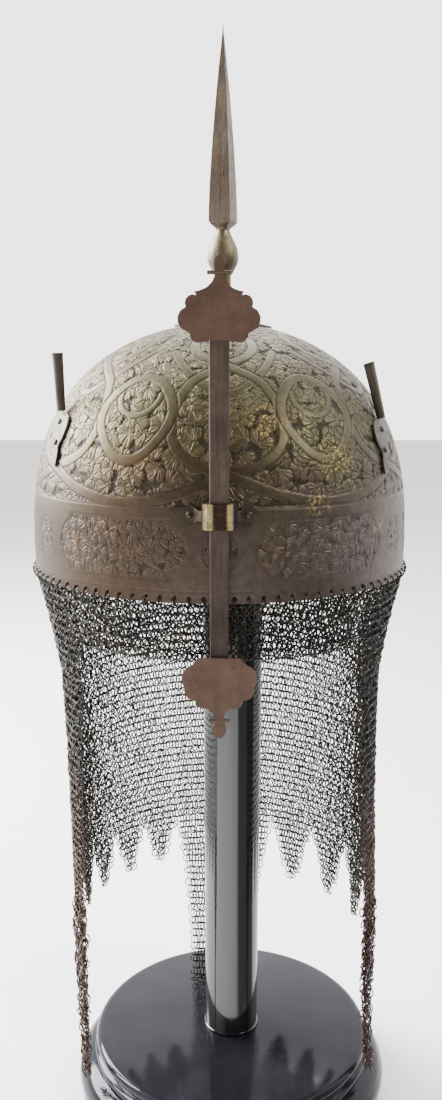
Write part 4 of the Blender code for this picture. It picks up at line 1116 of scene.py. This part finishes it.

# %% [markdown]
# A plain pale floor with a dark patch of painted shade in front at the right, a pale surround and broad soft lights:
# the photograph has a white ground and light from the left and above, with a weaker one at the right.

# %% floor and lights
floor_mesh = bpy.data.meshes.new("floor")
FLOOR = 6.0
floor_mesh.from_pydata([(-FLOOR, -FLOOR, 0), (FLOOR, -FLOOR, 0), (FLOOR, FLOOR, 0), (-FLOOR, FLOOR, 0)], [], [(0, 1, 2, 3)])
floor = bpy.data.objects.new("floor", floor_mesh)
bpy.context.scene.collection.objects.link(floor)
paper = Finish("pale_floor")
# Painted shade: a dark patch in the floor's own colour, in front and at the right, stands in for the dark room on that
# side, for the column to mirror.
PAPER, PAINTED_SHADE_PATCH = (0.78, 0.78, 0.78), (0.10, 0.10, 0.10)
PAINTED_SHADE_TURN = math.radians(20.0)
past_line = paper.maths("ADD", paper.maths("MULTIPLY", paper.axis("X"), math.cos(PAINTED_SHADE_TURN)),
                        paper.maths("MULTIPLY", paper.axis("Y"), math.sin(PAINTED_SHADE_TURN)))
in_front = paper.remap(paper.axis("Y"), -0.13, -0.17)
beside = paper.maths("MULTIPLY", paper.remap(paper.axis("X"), 0.18, 0.22), paper.remap(paper.axis("Y"), 0.05, 0.0))
on_painted_shade = paper.maths("MULTIPLY", paper.maths("MAXIMUM", in_front, beside), paper.remap(past_line, -0.02, 0.06))
floor_mesh.materials.append(paper.feed(Base_Color=paper.mix(on_painted_shade, PAPER, PAINTED_SHADE_PATCH), Roughness=0.9))

SURROUND_FRONT = 0.25
SURROUND_BACK = 3.4
SURROUND_LEFT = 2.4


def surround():
    """White surround that is bright behind and at the left, and dim on the side the photographer
    stood, so that dark polished things stay dark in front."""
    world = bpy.data.worlds.new("surround")
    world.use_nodes = True
    tree = world.node_tree
    back = tree.nodes["Background"]
    place = tree.nodes.new("ShaderNodeTexCoord")
    split = tree.nodes.new("ShaderNodeSeparateXYZ")
    tree.links.new(place.outputs["Generated"], split.inputs["Vector"])
    total = None
    ranges = (("Y", -0.35, 0.45, SURROUND_FRONT, SURROUND_BACK), ("X", -0.15, -0.95, 0.0, SURROUND_LEFT))
    for axis, low, high, dim, bright in ranges:
        part = tree.nodes.new("ShaderNodeMapRange")
        for socket, number in zip(part.inputs[1:5], (low, high, dim, bright)):
            socket.default_value = number
        part.interpolation_type = "SMOOTHSTEP"
        tree.links.new(split.outputs[axis], part.inputs[0])
        if total is None:
            total = part.outputs[0]
            continue
        larger = tree.nodes.new("ShaderNodeMath")
        larger.operation = "MAXIMUM"
        tree.links.new(total, larger.inputs[0])
        tree.links.new(part.outputs[0], larger.inputs[1])
        total = larger.outputs[0]
    tree.links.new(total, back.inputs["Strength"])
    back.inputs["Color"].default_value = (1.0, 1.0, 1.0, 1.0)
    bpy.context.scene.world = world


surround()


def soft_light(name, place, target, size, power, colour=(1.0, 1.0, 1.0)):
    """Round area light at a place, facing a target."""
    data = bpy.data.lights.new(name, "AREA")
    data.shape = "DISK"
    data.size = size
    data.energy = power
    data.color = colour
    lamp = bpy.data.objects.new(name, data)
    lamp.location = place
    direction = np.array(target) - np.array(place)
    level = math.hypot(direction[0], direction[1])
    lamp.rotation_euler = (math.atan2(level, -direction[2]), 0.0, math.atan2(direction[1], direction[0]) - math.pi / 2.0)
    bpy.context.scene.collection.objects.link(lamp)
    return lamp


HELMET_MIDDLE = (0.0, 0.0, 0.36)
soft_light("key_left", (-1.2, 0.55, 1.05), HELMET_MIDDLE, 1.1, 155.0)
soft_light("fill_right", (0.9, -0.5, 1.3), HELMET_MIDDLE, 0.5, 22.0)
soft_light("top_back", (0.1, 0.9, 1.5), HELMET_MIDDLE, 0.8, 14.0)

# %% [markdown]
# A polished column seen from above mirrors the floor in front of it. Two spot lamps make
# pools of light on the floor in front and at the left, so a broad pale band runs down the left of
# the column, and the floor's patch of painted shade keeps its right side dark.

# %% pools of light on the floor
POOL_PLACES = {"pool_front": (-0.20, -0.50, 2.2), "pool_left": (-0.50, -0.10, 2.2)}
for pool_name, place in POOL_PLACES.items():
    pool_data = bpy.data.lights.new(pool_name, "SPOT")
    pool_data.energy = 190.0
    pool_data.spot_size = math.radians(15.0)
    pool_data.spot_blend = 0.6
    pool_data.shadow_soft_size = 0.05
    pool = bpy.data.objects.new(pool_name, pool_data)
    pool.location = place
    bpy.context.scene.collection.objects.link(pool)

# %% measure and finish
print("triangles added", sum(added_triangles), "largest piece", max(added_triangles))
